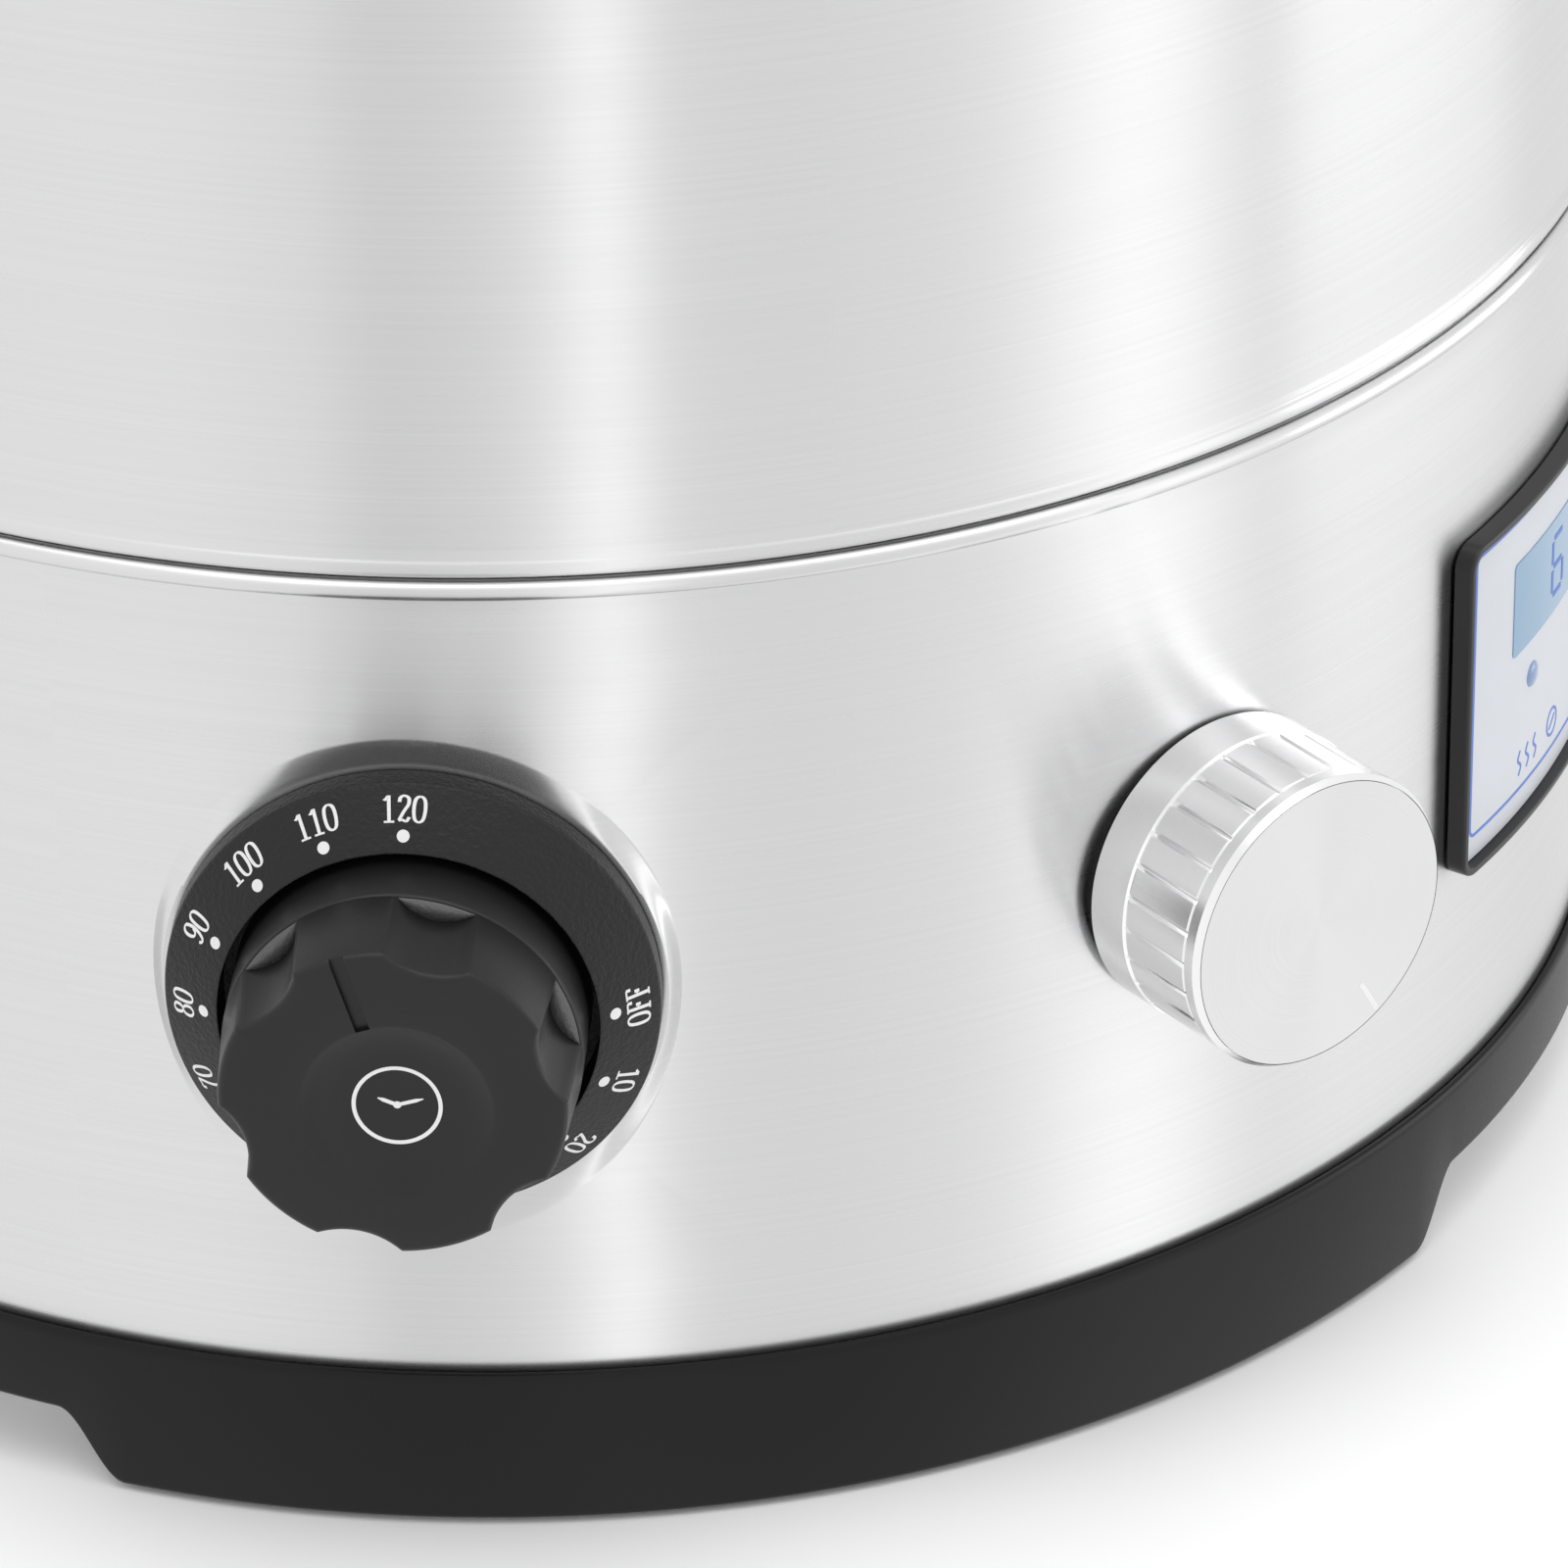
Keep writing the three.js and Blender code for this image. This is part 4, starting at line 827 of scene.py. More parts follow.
def pen_stroke(bm, points, at, wide, thin):
    """A stroke of a broad pen: a ribbon with a little thickness, placed by at(x, y, rise)."""
    line = smooth_line(points)
    left, right = [], []
    for i, p in enumerate(line):
        way = (line[min(i + 1, len(line) - 1)] - line[max(i - 1, 0)]).normalized()
        normal = Vector((-way.y, way.x))
        size = math.sqrt((wide * normal.x) ** 2 + (thin * normal.y) ** 2)
        offset = Vector((wide**2 * normal.x, thin**2 * normal.y)) / size
        left.append(p + offset)
        right.append(p - offset)
    sides = []
    for points_of in (left, right):
        for rise in (0.0, 1.0):
            sides.append([bm.verts.new(at(p.x, p.y, rise)) for p in points_of])
    low_left, high_left, low_right, high_right = sides
    for a, b in ((high_left, high_right), (low_left, high_left), (high_right, low_right),
                 (low_right, low_left)):
        for i in range(len(line) - 1):
            bm.faces.new((a[i], b[i], b[i + 1], a[i + 1]))
    bm.faces.new((low_left[0], low_right[0], high_right[0], high_left[0]))
    bm.faces.new((low_left[-1], high_left[-1], high_right[-1], low_right[-1]))


def dial_marks():
    """White numbers and dots printed on the dial's cone."""
    bm = bmesh.new()
    slope = math.atan2(DIAL_CROWN - DIAL_EDGE, DIAL_RADIUS - DIAL_HOLE)
    tall, inner = 3.4, 26.55
    pace = tall * 0.56
    labels = [(str(120 - 10 * k), -272 / 12 * k) for k in range(12)] + [("OFF", 88.0)]
    for text, angle in labels:
        a = math.radians(angle)
        upside_down = text == "OFF"
        width = pace * len(text) - pace * 0.1
        for i, letter in enumerate(text):
            def at(x, y, rise, shift=i * pace):
                u = x * tall * 0.98 + shift - width / 2
                v = y * tall
                if upside_down:
                    u, v = -u, tall - v
                radius = inner + v * math.cos(slope)
                turn = a + u / (inner + 1.4)
                height = dial_rise(radius) - 0.02 + 0.06 * rise
                return (radius * math.sin(turn), radius * math.cos(turn), height)
            for stroke in GLYPHS[letter]:
                pen_stroke(bm, stroke, at, PEN_WIDE * 0.62, PEN_THIN)
        centre = 25.25
        rim, top = [], []
        for k in range(24):
            b = 2 * math.pi * k / 24
            x = 0.78 * math.cos(b)
            radius = centre + 0.78 * math.sin(b) * math.cos(slope)
            turn = a + x / centre
            spot = (radius * math.sin(turn), radius * math.cos(turn))
            rim.append(bm.verts.new((*spot, dial_rise(radius) - 0.02)))
            top.append(bm.verts.new((*spot, dial_rise(radius) + 0.04)))
        for k in range(24):
            bm.faces.new((rim[k], rim[(k + 1) % 24], top[(k + 1) % 24], top[k]))
        bm.faces.new(top)
        bm.faces.new(rim[::-1])
    return finish_mesh(bm, "dial_numbers", timer_frame)


dress(dial_marks(), print_white, "base", slot="label_plastic")

# ------------------------------------------------------------------ timer knob


def knob_outline(angle, deep=2.2, size=10.8):
    """Radius of the fluted outline at an angle from the top, clockwise, in radians."""
    far = KNOB_RADIUS - deep + size
    best = KNOB_RADIUS
    for k in range(FLUTES):
        middle = math.radians(FIRST_FLUTE + 360 / FLUTES * k)
        away = (angle - middle + math.pi) % (2 * math.pi) - math.pi
        under = size**2 - (far * math.sin(away)) ** 2
        if abs(away) < math.pi / 2 and under > 0:
            best = min(best, far * math.cos(away) - math.sqrt(under))
    return best


def ledge_outline(angle):
    """The same outline at the foot of the flutes, where they are narrower and deeper."""
    return knob_outline(angle, 2.9, 6.6)


def knob_depth(radius):
    """Height of the front face: flat, then the dished hollow in its middle."""
    if radius >= DIMPLE_RADIUS:
        return KNOB_FRONT
    share = radius / DIMPLE_RADIUS
    return KNOB_FRONT - DIMPLE_DEPTH * (1 - 0.35 * share**2 - 0.65 * share**6)


def narrowed(angle):
    """The outline at the knob's front."""
    return knob_outline(angle) - KNOB_NARROWING


def timer_knob():
    """The fluted knob, turned to its rest place, with its pointer groove cut in."""
    segments = 432
    shelf = KNOB_FRONT - FLUTE_LENGTH
    bm = bmesh.new()
    rings = []

    def ring(radius_of, height_of):
        row = []
        for i in range(segments):
            a = 2 * math.pi * i / segments
            r = radius_of(a)
            row.append(bm.verts.new((r * math.sin(a), r * math.cos(a), height_of(r))))
        rings.append(row)

    full = KNOB_RADIUS
    for r, z in ((3.3, 0.9), (full - 0.6, 0.9), (full - 0.15, 1.05), (full, 1.5), (full, shelf - 0.5),
                 (full - 0.05, shelf - 0.2), (full - 0.25, shelf)):
        ring(lambda a, r=r: r, lambda _, z=z: z)
    ring(lambda a: min(full - 0.3, ledge_outline(a) + 0.35), lambda _: shelf + 0.02)
    ring(lambda a: min(full - 0.1, ledge_outline(a) + 0.08), lambda _: shelf + 0.12)
    ring(ledge_outline, lambda _: shelf + 0.45)
    ring(narrowed, lambda _: KNOB_FRONT - 1.0)
    for k in range(1, 5):
        b = math.radians(90 * k / 4)
        ring(lambda a, b=b: narrowed(a) - 1.0 * (1 - math.cos(b)),
             lambda _, b=b: KNOB_FRONT - 1 + math.sin(b))
    for share in (0.66, 0.33):
        ring(lambda a, share=share: (narrowed(a) - 1.0) * share + (DIMPLE_RADIUS + 0.5) * (1 - share),
             lambda _: KNOB_FRONT)
    for radius in (DIMPLE_RADIUS + 0.2, 11.8, 11.5, 11.0, 10.4, 9.6, 8.6, 7.2, 5.6, 4, 2):
        ring(lambda a, radius=radius: radius, knob_depth)
        for vert in rings[-1]:
            vert.co.xy += DIMPLE_AT
    bridge(bm, rings)
    bm.faces.new(rings[-1])
    bm.faces.new(rings[0])
    made = finish_mesh(bm, "timer_knob_body", timer_frame, sharp=38)
    turn = timer_frame @ Matrix.Rotation(math.radians(POINTER_ANGLE), 4, "Z")
    groove = block("groove", (-0.9, DIMPLE_RADIUS - 1, KNOB_FRONT - 0.7),
                   (0.9, KNOB_RADIUS + 2, KNOB_FRONT + 2), turn)
    return carve(made, [groove], 38)


dress(timer_knob(), knob_plastic, "timer_knob", "timer_knob")


def flute_shelves():
    """The rough ledges where the flutes end."""
    bm = bmesh.new()
    height = KNOB_FRONT - FLUTE_LENGTH + 0.14
    for k in range(FLUTES):
        middle = math.radians(FIRST_FLUTE + 360 / FLUTES * k)
        outside, inside = [], []
        for i in range(25):
            away = math.radians(-13.2 + 26.4 * i / 24)
            a = middle + away
            inner = min(ledge_outline(a) + 0.12, KNOB_RADIUS - 0.45)
            for rows, radius in ((outside, KNOB_RADIUS - 0.35), (inside, inner)):
                rows.append(bm.verts.new((radius * math.sin(a), radius * math.cos(a), height)))
        for i in range(24):
            bm.faces.new((outside[i], outside[i + 1], inside[i + 1], inside[i]))
    bmesh.ops.remove_doubles(bm, verts=bm.verts, dist=0.02)
    made = finish_mesh(bm, "knob_shelves", timer_frame)
    thick = made.modifiers.new("thick", "SOLIDIFY")
    thick.thickness = 0.1 * MM
    return baked(made)


dress(flute_shelves(), shelf_plastic, "timer_knob", slot="black_plastic")


def clock_mark():
    """A plain clock face printed in the knob's hollow."""
    bm = bmesh.new()

    def at(x, y, rise):
        return (x + DIMPLE_AT.x, y + DIMPLE_AT.y, knob_depth(math.hypot(x, y)) - 0.03 + 0.08 * rise)

    def polygon(points):
        low = [bm.verts.new(at(x, y, 0)) for x, y in points]
        high = [bm.verts.new(at(x, y, 1)) for x, y in points]
        for i in range(len(points)):
            n = (i + 1) % len(points)
            bm.faces.new((low[i], low[n], high[n], high[i]))
        bm.faces.new(high)
        bm.faces.new(low[::-1])

    rings = []
    for radius, rise in ((5.5, 0), (5.5, 1), (5.0, 1), (5.0, 0)):
        rings.append([bm.verts.new(at(x, y, rise)) for x, y in circle_points(0, 0, radius, 96, 96)])
    bridge(bm, rings, closed=True)
    for end, half in (((-2.35, 0.95), 0.26), ((3.2, 0.95), 0.24)):
        way = Vector(end).normalized()
        side = Vector((-way.y, way.x)) * half
        tip = Vector(end)
        start = way * 0.25
        waist = tip * 0.72
        polygon([(start + side)[:], (start - side)[:], (waist - side)[:], (tip - side * 0.25)[:],
                 (tip + side * 0.25)[:], (waist + side)[:]])
    polygon(circle_points(0, 0, 0.5, 20, 20))
    return finish_mesh(bm, "clock_mark", timer_frame)


dress(clock_mark(), print_white, "timer_knob", slot="label_plastic")

# ------------------------------------------------------------------ power knob

power_frame = facing(CONTROL_ANGLE, CONTROL_HEIGHT)
GROOVES = 28


def power_side():
    """The knob's turned side: a plain collar, a grooved band and the lip in front."""
    collar_end, lip_start = 6.9, 18.3

    def radius_at(point, angle, _):
        if not collar_end + 0.05 < point.y < lip_start - 0.05 or point.x < 15:
            return point.x
        away = math.degrees(angle) % (360 / GROOVES)
        away = min(away, 360 / GROOVES - away)
        return point.x - 0.4 * max(0.0, 1 - (away / 1.1) ** 2)

    profile = [
        (9.0, 2.0), (18.7, 2.0), (18.7, 0.5), (POWER_RADIUS, 0.5, 0.3),
        (POWER_RADIUS, collar_end - 0.25), (POWER_RADIUS - 0.35, collar_end),
        (POWER_RADIUS - 0.35, collar_end + 0.1), (POWER_RADIUS - 0.15, collar_end + 0.35),
        (POWER_RADIUS - 0.15, lip_start - 0.35), (POWER_RADIUS - 0.35, lip_start - 0.1),
        (POWER_RADIUS - 0.35, lip_start), (POWER_RADIUS, lip_start + 0.25),
        (POWER_RADIUS, POWER_FRONT - 0.95),
        (POWER_RADIUS - 0.6, POWER_FRONT - 0.05), (POWER_RADIUS - 0.65, POWER_FRONT - 0.6),
        (9.0, POWER_FRONT - 0.6),
    ]
    return turned("power_knob_side", profile, 560, power_frame, sharp=28, radius_at=radius_at)


def power_face():
    """The knob's spun front, a little hollow."""
    edge = POWER_RADIUS - 0.7
    profile = [(0, POWER_FRONT - 0.12)]
    profile += [(edge * k / 12, POWER_FRONT - 0.12 + 0.07 * (k / 12) ** 2) for k in range(1, 13)]
    profile += [(edge, POWER_FRONT - 0.5), (0, POWER_FRONT - 0.5)]
    return turned("power_knob_face", profile, 256, power_frame, closed=False, sharp=28)


dress(power_side(), turned_edge, "power_knob", "power_knob")
dress(power_face(), shaded_spun_face, "power_knob", slot="spun_aluminium")
pointer = block("power_pointer", (-0.4, 13.4, POWER_FRONT - 0.3), (0.4, 18.8, POWER_FRONT - 0.02),
                power_frame @ Matrix.Rotation(math.radians(-149), 4, "Z"), 0.08)
dress(pointer, print_white, "power_knob", slot="label_plastic")
washer = turned("power_washer_ring", [
    (4.8, -3.0), (18.4, -3.0), (18.4, 1.7, 0.3), (4.8, 1.7),
], 128, power_frame)
dress(washer, washer_rubber, "base", "power_washer")

# ------------------------------------------------------------------ display panel


def on_panel(x, y, rise):
    """A point over the skirt, x and y from the panel's middle as it is faced."""
    turn = math.asin(x / SKIRT_RADIUS)
    radius = SKIRT_RADIUS + rise
    return Vector((radius * math.sin(turn), y, radius * math.cos(turn) - SKIRT_RADIUS))


panel_frame = facing(PANEL_ANGLE, PANEL_HEIGHT)
PANEL_W, PANEL_H = 69.0, 48.5


def subdivided(points, most=2.0):
    out = []
    for a, b in zip(points, points[1:] + points[:1]):
        pieces = max(1, math.ceil(math.dist(a, b) / most))
        out += [(a[0] + (b[0] - a[0]) * k / pieces, a[1] + (b[1] - a[1]) * k / pieces)
                for k in range(pieces)]
    return out


def panel_bar(name, width, height, corner, section, lift=0.0):
    """A frame on the panel: section points are (inwards, rise)."""
    bm = bmesh.new()
    outline = subdivided(rounded_outline(width, height, corner))
    count = len(outline)
    rings = []
    for i, point in enumerate(outline):
        a, b = Vector(outline[i - 1]), Vector(outline[(i + 1) % count])
        way = (b - a).normalized()
        inward = Vector((-way.y, way.x))
        rings.append([bm.verts.new(on_panel(point[0] + inward.x * s, point[1] + lift + inward.y * s, r))
                      for s, r in section])
    bridge(bm, rings, closed=True)
    return finish_mesh(bm, name, panel_frame)


def sliced_plate(outline, cuts):
    """A flat plate cut across at each x, ready to be bent, and the vertices of its upper face."""
    bm = bmesh.new()
    bm.faces.new([bm.verts.new((x, y, 0)) for x, y in outline])
    for x in cuts:
        geometry = list(bm.verts) + list(bm.edges) + list(bm.faces)
        bmesh.ops.bisect_plane(bm, geom=geometry, plane_co=(x, 0, 0), plane_no=(1, 0, 0), dist=0.001)
    made = bmesh.ops.extrude_face_region(bm, geom=list(bm.faces))
    return bm, {v for v in made["geom"] if isinstance(v, bmesh.types.BMVert)}


def panel_plate(name, outline, low, high):
    """A thin plate that follows the skirt, from a closed outline."""
    xs = [p[0] for p in outline]
    strips = max(2, round((max(xs) - min(xs)) / 1.5))
    cuts = [min(xs) + (max(xs) - min(xs)) * k / strips for k in range(1, strips)]
    bm, tops = sliced_plate(subdivided(outline, 1.5), cuts)
    for v in bm.verts:
        v.co = on_panel(v.co.x, v.co.y, high if v in tops else low)
    bmesh.ops.recalc_face_normals(bm, faces=bm.faces)
    return finish_mesh(bm, name, panel_frame)


bar = [(0, 0.3), (0, 2.5)]
outer_arc = [math.radians(a) for a in range(15, 91, 15)]
inner_arc = [math.radians(a) for a in range(0, 91, 15)]
bar += [(0.4 - 0.4 * math.cos(a), 2.5 + 0.4 * math.sin(a)) for a in outer_arc]
bar += [(0.8 + 0.3 * math.sin(a), 2.6 + 0.3 * math.cos(a)) for a in inner_arc]
bar += [(1.1, 0.3)]
dress(panel_bar("panel_frame", PANEL_W, PANEL_H, 3.0, bar), bezel_plastic, "base", "panel_bezel")

label = panel_plate("panel_film", rounded_outline(PANEL_W - 2.4, PANEL_H - 2.4, 1.9), 0.35, 1.45)
dress(label, label_film, "base", "panel_label")
keyline = [(0, 1.42), (0, 1.5), (0.45, 1.5), (0.45, 1.42)]
keyline_bar = panel_bar("panel_keyline", PANEL_W - 6.8, PANEL_H - 6.9, 1.4, keyline, 0.9)
dress(keyline_bar, print_blue, "base", slot="label_plastic")

WINDOW_W, WINDOW_H, WINDOW_LIFT = 40.2, 13.8, 8.2
SIGNS_AT = -15.8  # height of the middle of the signs over the panel's middle
LAMP_AT = (-13.3, -4.2)


pane_outline = [(x, y + WINDOW_LIFT) for x, y in rounded_outline(WINDOW_W, WINDOW_H, 0.8)]
window = panel_plate("display_pane", pane_outline, 0.6, 1.58)
dress(window, window_glass, "base", "display_window")


def lamp():
    bm = bmesh.new()
    profile = [(0, 2.0), (1.0, 1.93), (1.6, 1.7), (1.85, 1.4), (1.85, 0.6)]
    add_turned(bm, profile, 32, closed=False)
    for v in bm.verts:
        v.co = on_panel(v.co.x + LAMP_AT[0], v.co.y + LAMP_AT[1], v.co.z)
    bmesh.ops.holes_fill(bm, edges=bm.edges, sides=0)
    return finish_mesh(bm, "lamp_lens", panel_frame)


dress(lamp(), lens, "base", "status_lamp")

SEGMENTS = {"a": ((0, 2), (1, 2)), "b": ((1, 2), (1, 1)), "c": ((1, 1), (1, 0)), "d": ((0, 0), (1, 0)),
            "e": ((0, 1), (0, 0)), "f": ((0, 2), (0, 1)), "g": ((0, 1), (1, 1))}


def panel_print(name, strokes, half, rise=1.45):
    """Strokes printed on the panel, as thin flat ribbons."""
    bm = bmesh.new()
    for points in strokes:
        pen_stroke(bm, points, lambda x, y, up: on_panel(x, y, rise - 0.02 + 0.07 * up), half, half)
    return finish_mesh(bm, name, panel_frame)


def display_digits():
    strokes = []
    size, tall = 4.0, 4.2
    for place, lit in ((-7.0, "acdefg"), (0.0, "acdfg")):
        for key in lit:
            (x0, y0), (x1, y1) = SEGMENTS[key]
            a = Vector((place + x0 * size, WINDOW_LIFT - tall + y0 * tall))
            b = Vector((place + x1 * size, WINDOW_LIFT - tall + y1 * tall))
            way = (b - a).normalized() * 0.5
            strokes.append([(a + way)[:], ((a + b) / 2)[:], (b - way)[:]])
    strokes.append(circle_points(7.0, WINDOW_LIFT + 3.4, 0.9, 12, 13))
    return panel_print("display_digits", strokes, 0.35, 1.58)


dress(display_digits(), print_blue, "base", slot="display_window")


def pictograms():
    """Plain signs for warm air, time and a fan, in a row under the display."""
    strokes = []
    for k in range(3):
        x = -17.0 + 2.6 * k
        strokes.append([(x, -17.6), (x + 0.7, -16.4), (x - 0.3, -15.2), (x + 0.4, -14.0)])
    for middle, spokes in ((-5.0, 2), (5.0, 3), (15.0, 4)):
        strokes.append(circle_points(middle, SIGNS_AT, 1.9, 16, 17))
        for s in range(spokes):
            a = 2 * math.pi * s / spokes + 0.6
            spoke = [(middle + r * math.cos(a), SIGNS_AT + r * math.sin(a)) for r in (0.7, 1.3)]
            strokes.append([(middle, SIGNS_AT)] + spoke)
    return panel_print("panel_signs", strokes, 0.2)


dress(pictograms(), print_blue, "base", slot="label_plastic")

# ------------------------------------------------------------------ drum, brackets and handles

drum_profile = [
    (DRUM_INSIDE, 127.5, 0.2), (DRUM_RADIUS, 127.5, 0.2), (DRUM_RADIUS, 135.9, 0.3), (145.25, 135.9, 0.9),
    (145.25, 137.6, 0.9), (144.75, 138.2, 0.2), (144.75, 138.5, 0.2), (WALL_FACE, 139.4, 0.3),
    (WALL_FACE, 323.0, 0.3),
]
rim_centre, rim_size = DRUM_RADIUS + 1.0, 1.1
for step in range(9):
    turn_at = math.radians(-60 + 210 * step / 8)
    drum_profile.append((rim_centre + rim_size * math.cos(turn_at),
                         DRUM_TOP - rim_size + rim_size * math.sin(turn_at)))
drum_profile += [
    (DRUM_INSIDE, DRUM_TOP - 1.0), (DRUM_INSIDE, LEDGE_TOP, 0.5), (132.1, LEDGE_TOP, 0.4),
    (132.1, LEDGE_TOP - 1, 0.4), (DRUM_INSIDE, LEDGE_TOP - 1, 0.5),
]
drum = turned("drum_shell", drum_profile, 320, sharp=32)
dress(drum, drum_steel, "drum", "drum")


def bracket(name, angle):
    """A curved steel plate under a handle's ends."""
    outline = subdivided(rounded_outline(100, 25, 6), 2.5)
    bm, tops = sliced_plate(outline, [-50 + 2.5 * k for k in range(1, 40)])
    for v in bm.verts:
        radius = WALL_FACE + (0.9 if v in tops else -0.1)
        turn_to = math.asin(v.co.x / (DRUM_RADIUS + 1.3))
        v.co = Vector((radius * math.sin(turn_to), v.co.y, radius * math.cos(turn_to) - WALL_FACE))
    return finish_mesh(bm, name, facing(angle, HANDLE_HEIGHT, WALL_FACE))


def handle(name, angle):
    """A bow handle with rounded corners, cut to the drum's curve at both ends."""
    place = facing(angle, HANDLE_HEIGHT)
    half, reach, corner = 45.5, 28.5, 14.0
    path = [Vector((-half, 0, -9)), Vector((-half, 0, -4)), Vector((-half, 0, 2))]
    path += [Vector((-half, 0, 2 + (reach - corner - 2) * k / 4)) for k in range(1, 5)]
    for k in range(1, 13):
        a = math.radians(90 * k / 12)
        path.append(Vector((-half + corner * (1 - math.cos(a)), 0,
                            reach - corner + corner * math.sin(a))))
    path += [Vector((-half + corner + (half - corner) * k / 6, 0, reach)) for k in range(1, 7)]
    path += [Vector((-p.x, p.y, p.z)) for p in reversed(path[:-1])]
    section = superellipse(1.0, 1.0, 3.2, 28)
    bm = bmesh.new()
    rings = []
    for i, point in enumerate(path):
        way = (path[min(i + 1, len(path) - 1)] - path[max(i - 1, 0)]).normalized()
        across = way.cross(Vector((0, 1, 0))).normalized()
        rings.append([bm.verts.new(point + across * x * HANDLE_THICK + Vector((0, 1, 0)) * y * HANDLE_THICK)
                      for x, y in section])
    bridge(bm, rings)
    bm.faces.new(rings[0])
    bm.faces.new(rings[-1])
    bmesh.ops.recalc_face_normals(bm, faces=bm.faces)
    made = finish_mesh(bm, name, place)
    cut = DRUM_RADIUS + 1.7
    cutter = turned(f"{name}_cut", [(0, 200), (cut, 200), (cut, 320), (0, 320)], 256, closed=False)
    return carve(made, [cutter])


def rivets(name, angle):
    """Domed rivets on both ends of a bracket."""
    parts = []
    for x in (-34.0, 34.0):
        turn_to = math.degrees(math.asin(x / DRUM_RADIUS))
        for y in (-7.5, 7.5):
            place = facing(angle + turn_to, HANDLE_HEIGHT + y, DRUM_RADIUS + 1.6)
            profile = [(0, -0.3), (2.6, -0.3), (2.6, 0.1), (2.2, 0.9, 0.7), (0, 1.25)]
            parts.append(turned("rivet", profile, 32, place, closed=False))
    return join_objects(name, parts)


for side, angle in (("left", -90), ("right", 90)):
    dress(bracket(f"handle_bracket_{side}", angle), sheet_steel, "drum", f"bracket_{side}")
    dress(handle(f"bow_handle_{side}", angle), handle_plastic, "drum", f"handle_{side}")
    dress(rivets(f"rivets_{side}", angle), screw_steel, "drum", slot="plain_steel")

# ------------------------------------------------------------------ trays


def mesh_floor_tree():
    """Geometry nodes: two layers of crossing wires cut to a disc."""
    tree = bpy.data.node_groups.new("wire floor", "GeometryNodeTree")
    tree.interface.new_socket("Geometry", in_out="INPUT", socket_type="NodeSocketGeometry")
    for label, default in (("Radius", 0.137), ("Pitch", 0.006), ("Wire", 0.0009), ("Height", 0.2)):
        socket = tree.interface.new_socket(label, in_out="INPUT", socket_type="NodeSocketFloat")
        socket.default_value = default
    tree.interface.new_socket("Finish", in_out="INPUT", socket_type="NodeSocketMaterial")
    tree.interface.new_socket("Geometry", in_out="OUTPUT", socket_type="NodeSocketGeometry")
    graph = Graph(tree)
    source = graph.add("NodeGroupInput").outputs
    radius, pitch, wire = source["Radius"], source["Pitch"], source["Wire"]
    per_side = graph.maths("FLOOR", graph.maths("DIVIDE", radius, pitch))
    count = graph.maths("ADD", graph.maths("MULTIPLY", per_side, 2), 1)
    first = graph.maths("MULTIPLY", graph.maths("MULTIPLY", per_side, pitch), -1)
    start = graph.add("ShaderNodeCombineXYZ", {"Y": first}).outputs[0]
    step = graph.add("ShaderNodeCombineXYZ", {"Y": pitch}).outputs[0]
    line = graph.add("GeometryNodeMeshLine", {"Count": count, "Start Location": start, "Offset": step})
    half = graph.maths("MULTIPLY", wire, 0.5)
    rod = graph.add("GeometryNodeMeshCylinder", {"Vertices": 6, "Depth": 1.0, "Radius": half})
    position = graph.add("GeometryNodeInputPosition").outputs[0]
    across = graph.add("ShaderNodeSeparateXYZ", {0: position}).outputs["Y"]
    inside = graph.maths("SUBTRACT", graph.maths("MULTIPLY", radius, radius),
                         graph.maths("MULTIPLY", across, across))
    chord = graph.maths("MULTIPLY", graph.maths("SQRT", graph.maths("MAXIMUM", inside, 0.0001)), 2)
    rods = graph.add("GeometryNodeInstanceOnPoints", {
        "Points": line.outputs["Mesh"], "Instance": rod.outputs["Mesh"], "Rotation": (0, math.pi / 2, 0),
        "Scale": graph.add("ShaderNodeCombineXYZ", {"X": 1, "Y": 1, "Z": chord}).outputs[0],
    })
    layers = graph.add("GeometryNodeJoinGeometry")
    for turn, lift in ((0.0, 0.45), (math.pi / 2, -0.45)):
        height = graph.maths("ADD", source["Height"], graph.maths("MULTIPLY", wire, lift))
        shift = graph.add("ShaderNodeCombineXYZ", {"Y": AXIS_Y * MM, "Z": height}).outputs[0]
        move = graph.add("GeometryNodeTransform", {
            "Geometry": rods.outputs["Instances"], "Rotation": (0, 0, turn), "Translation": shift,
        })
        tree.links.new(move.outputs["Geometry"], layers.inputs[0])
    real = graph.add("GeometryNodeRealizeInstances", {0: layers.outputs[0]})
    finish = {"Geometry": real.outputs[0], "Material": source["Finish"]}
    paint = graph.add("GeometryNodeSetMaterial", finish)
    graph.add("NodeGroupOutput", {0: paint.outputs[0]})
    return tree


floor_tree = mesh_floor_tree()


def mesh_floor(name, height):
    """A wire floor at a height, as a plain mesh."""
    piece = new_object(name, bpy.data.meshes.new(name))
    grow = piece.modifiers.new("wires", "NODES")
    grow.node_group = floor_tree
    values = {"Radius": 136.6 * MM, "Pitch": 5.5 * MM, "Wire": 0.9 * MM, "Height": height * MM,
              "Finish": wire_steel}
    for item in floor_tree.interface.items_tree:
        if item.item_type == "SOCKET" and item.in_out == "INPUT" and item.name in values:
            grow[item.identifier] = values[item.name]
    return baked(piece)


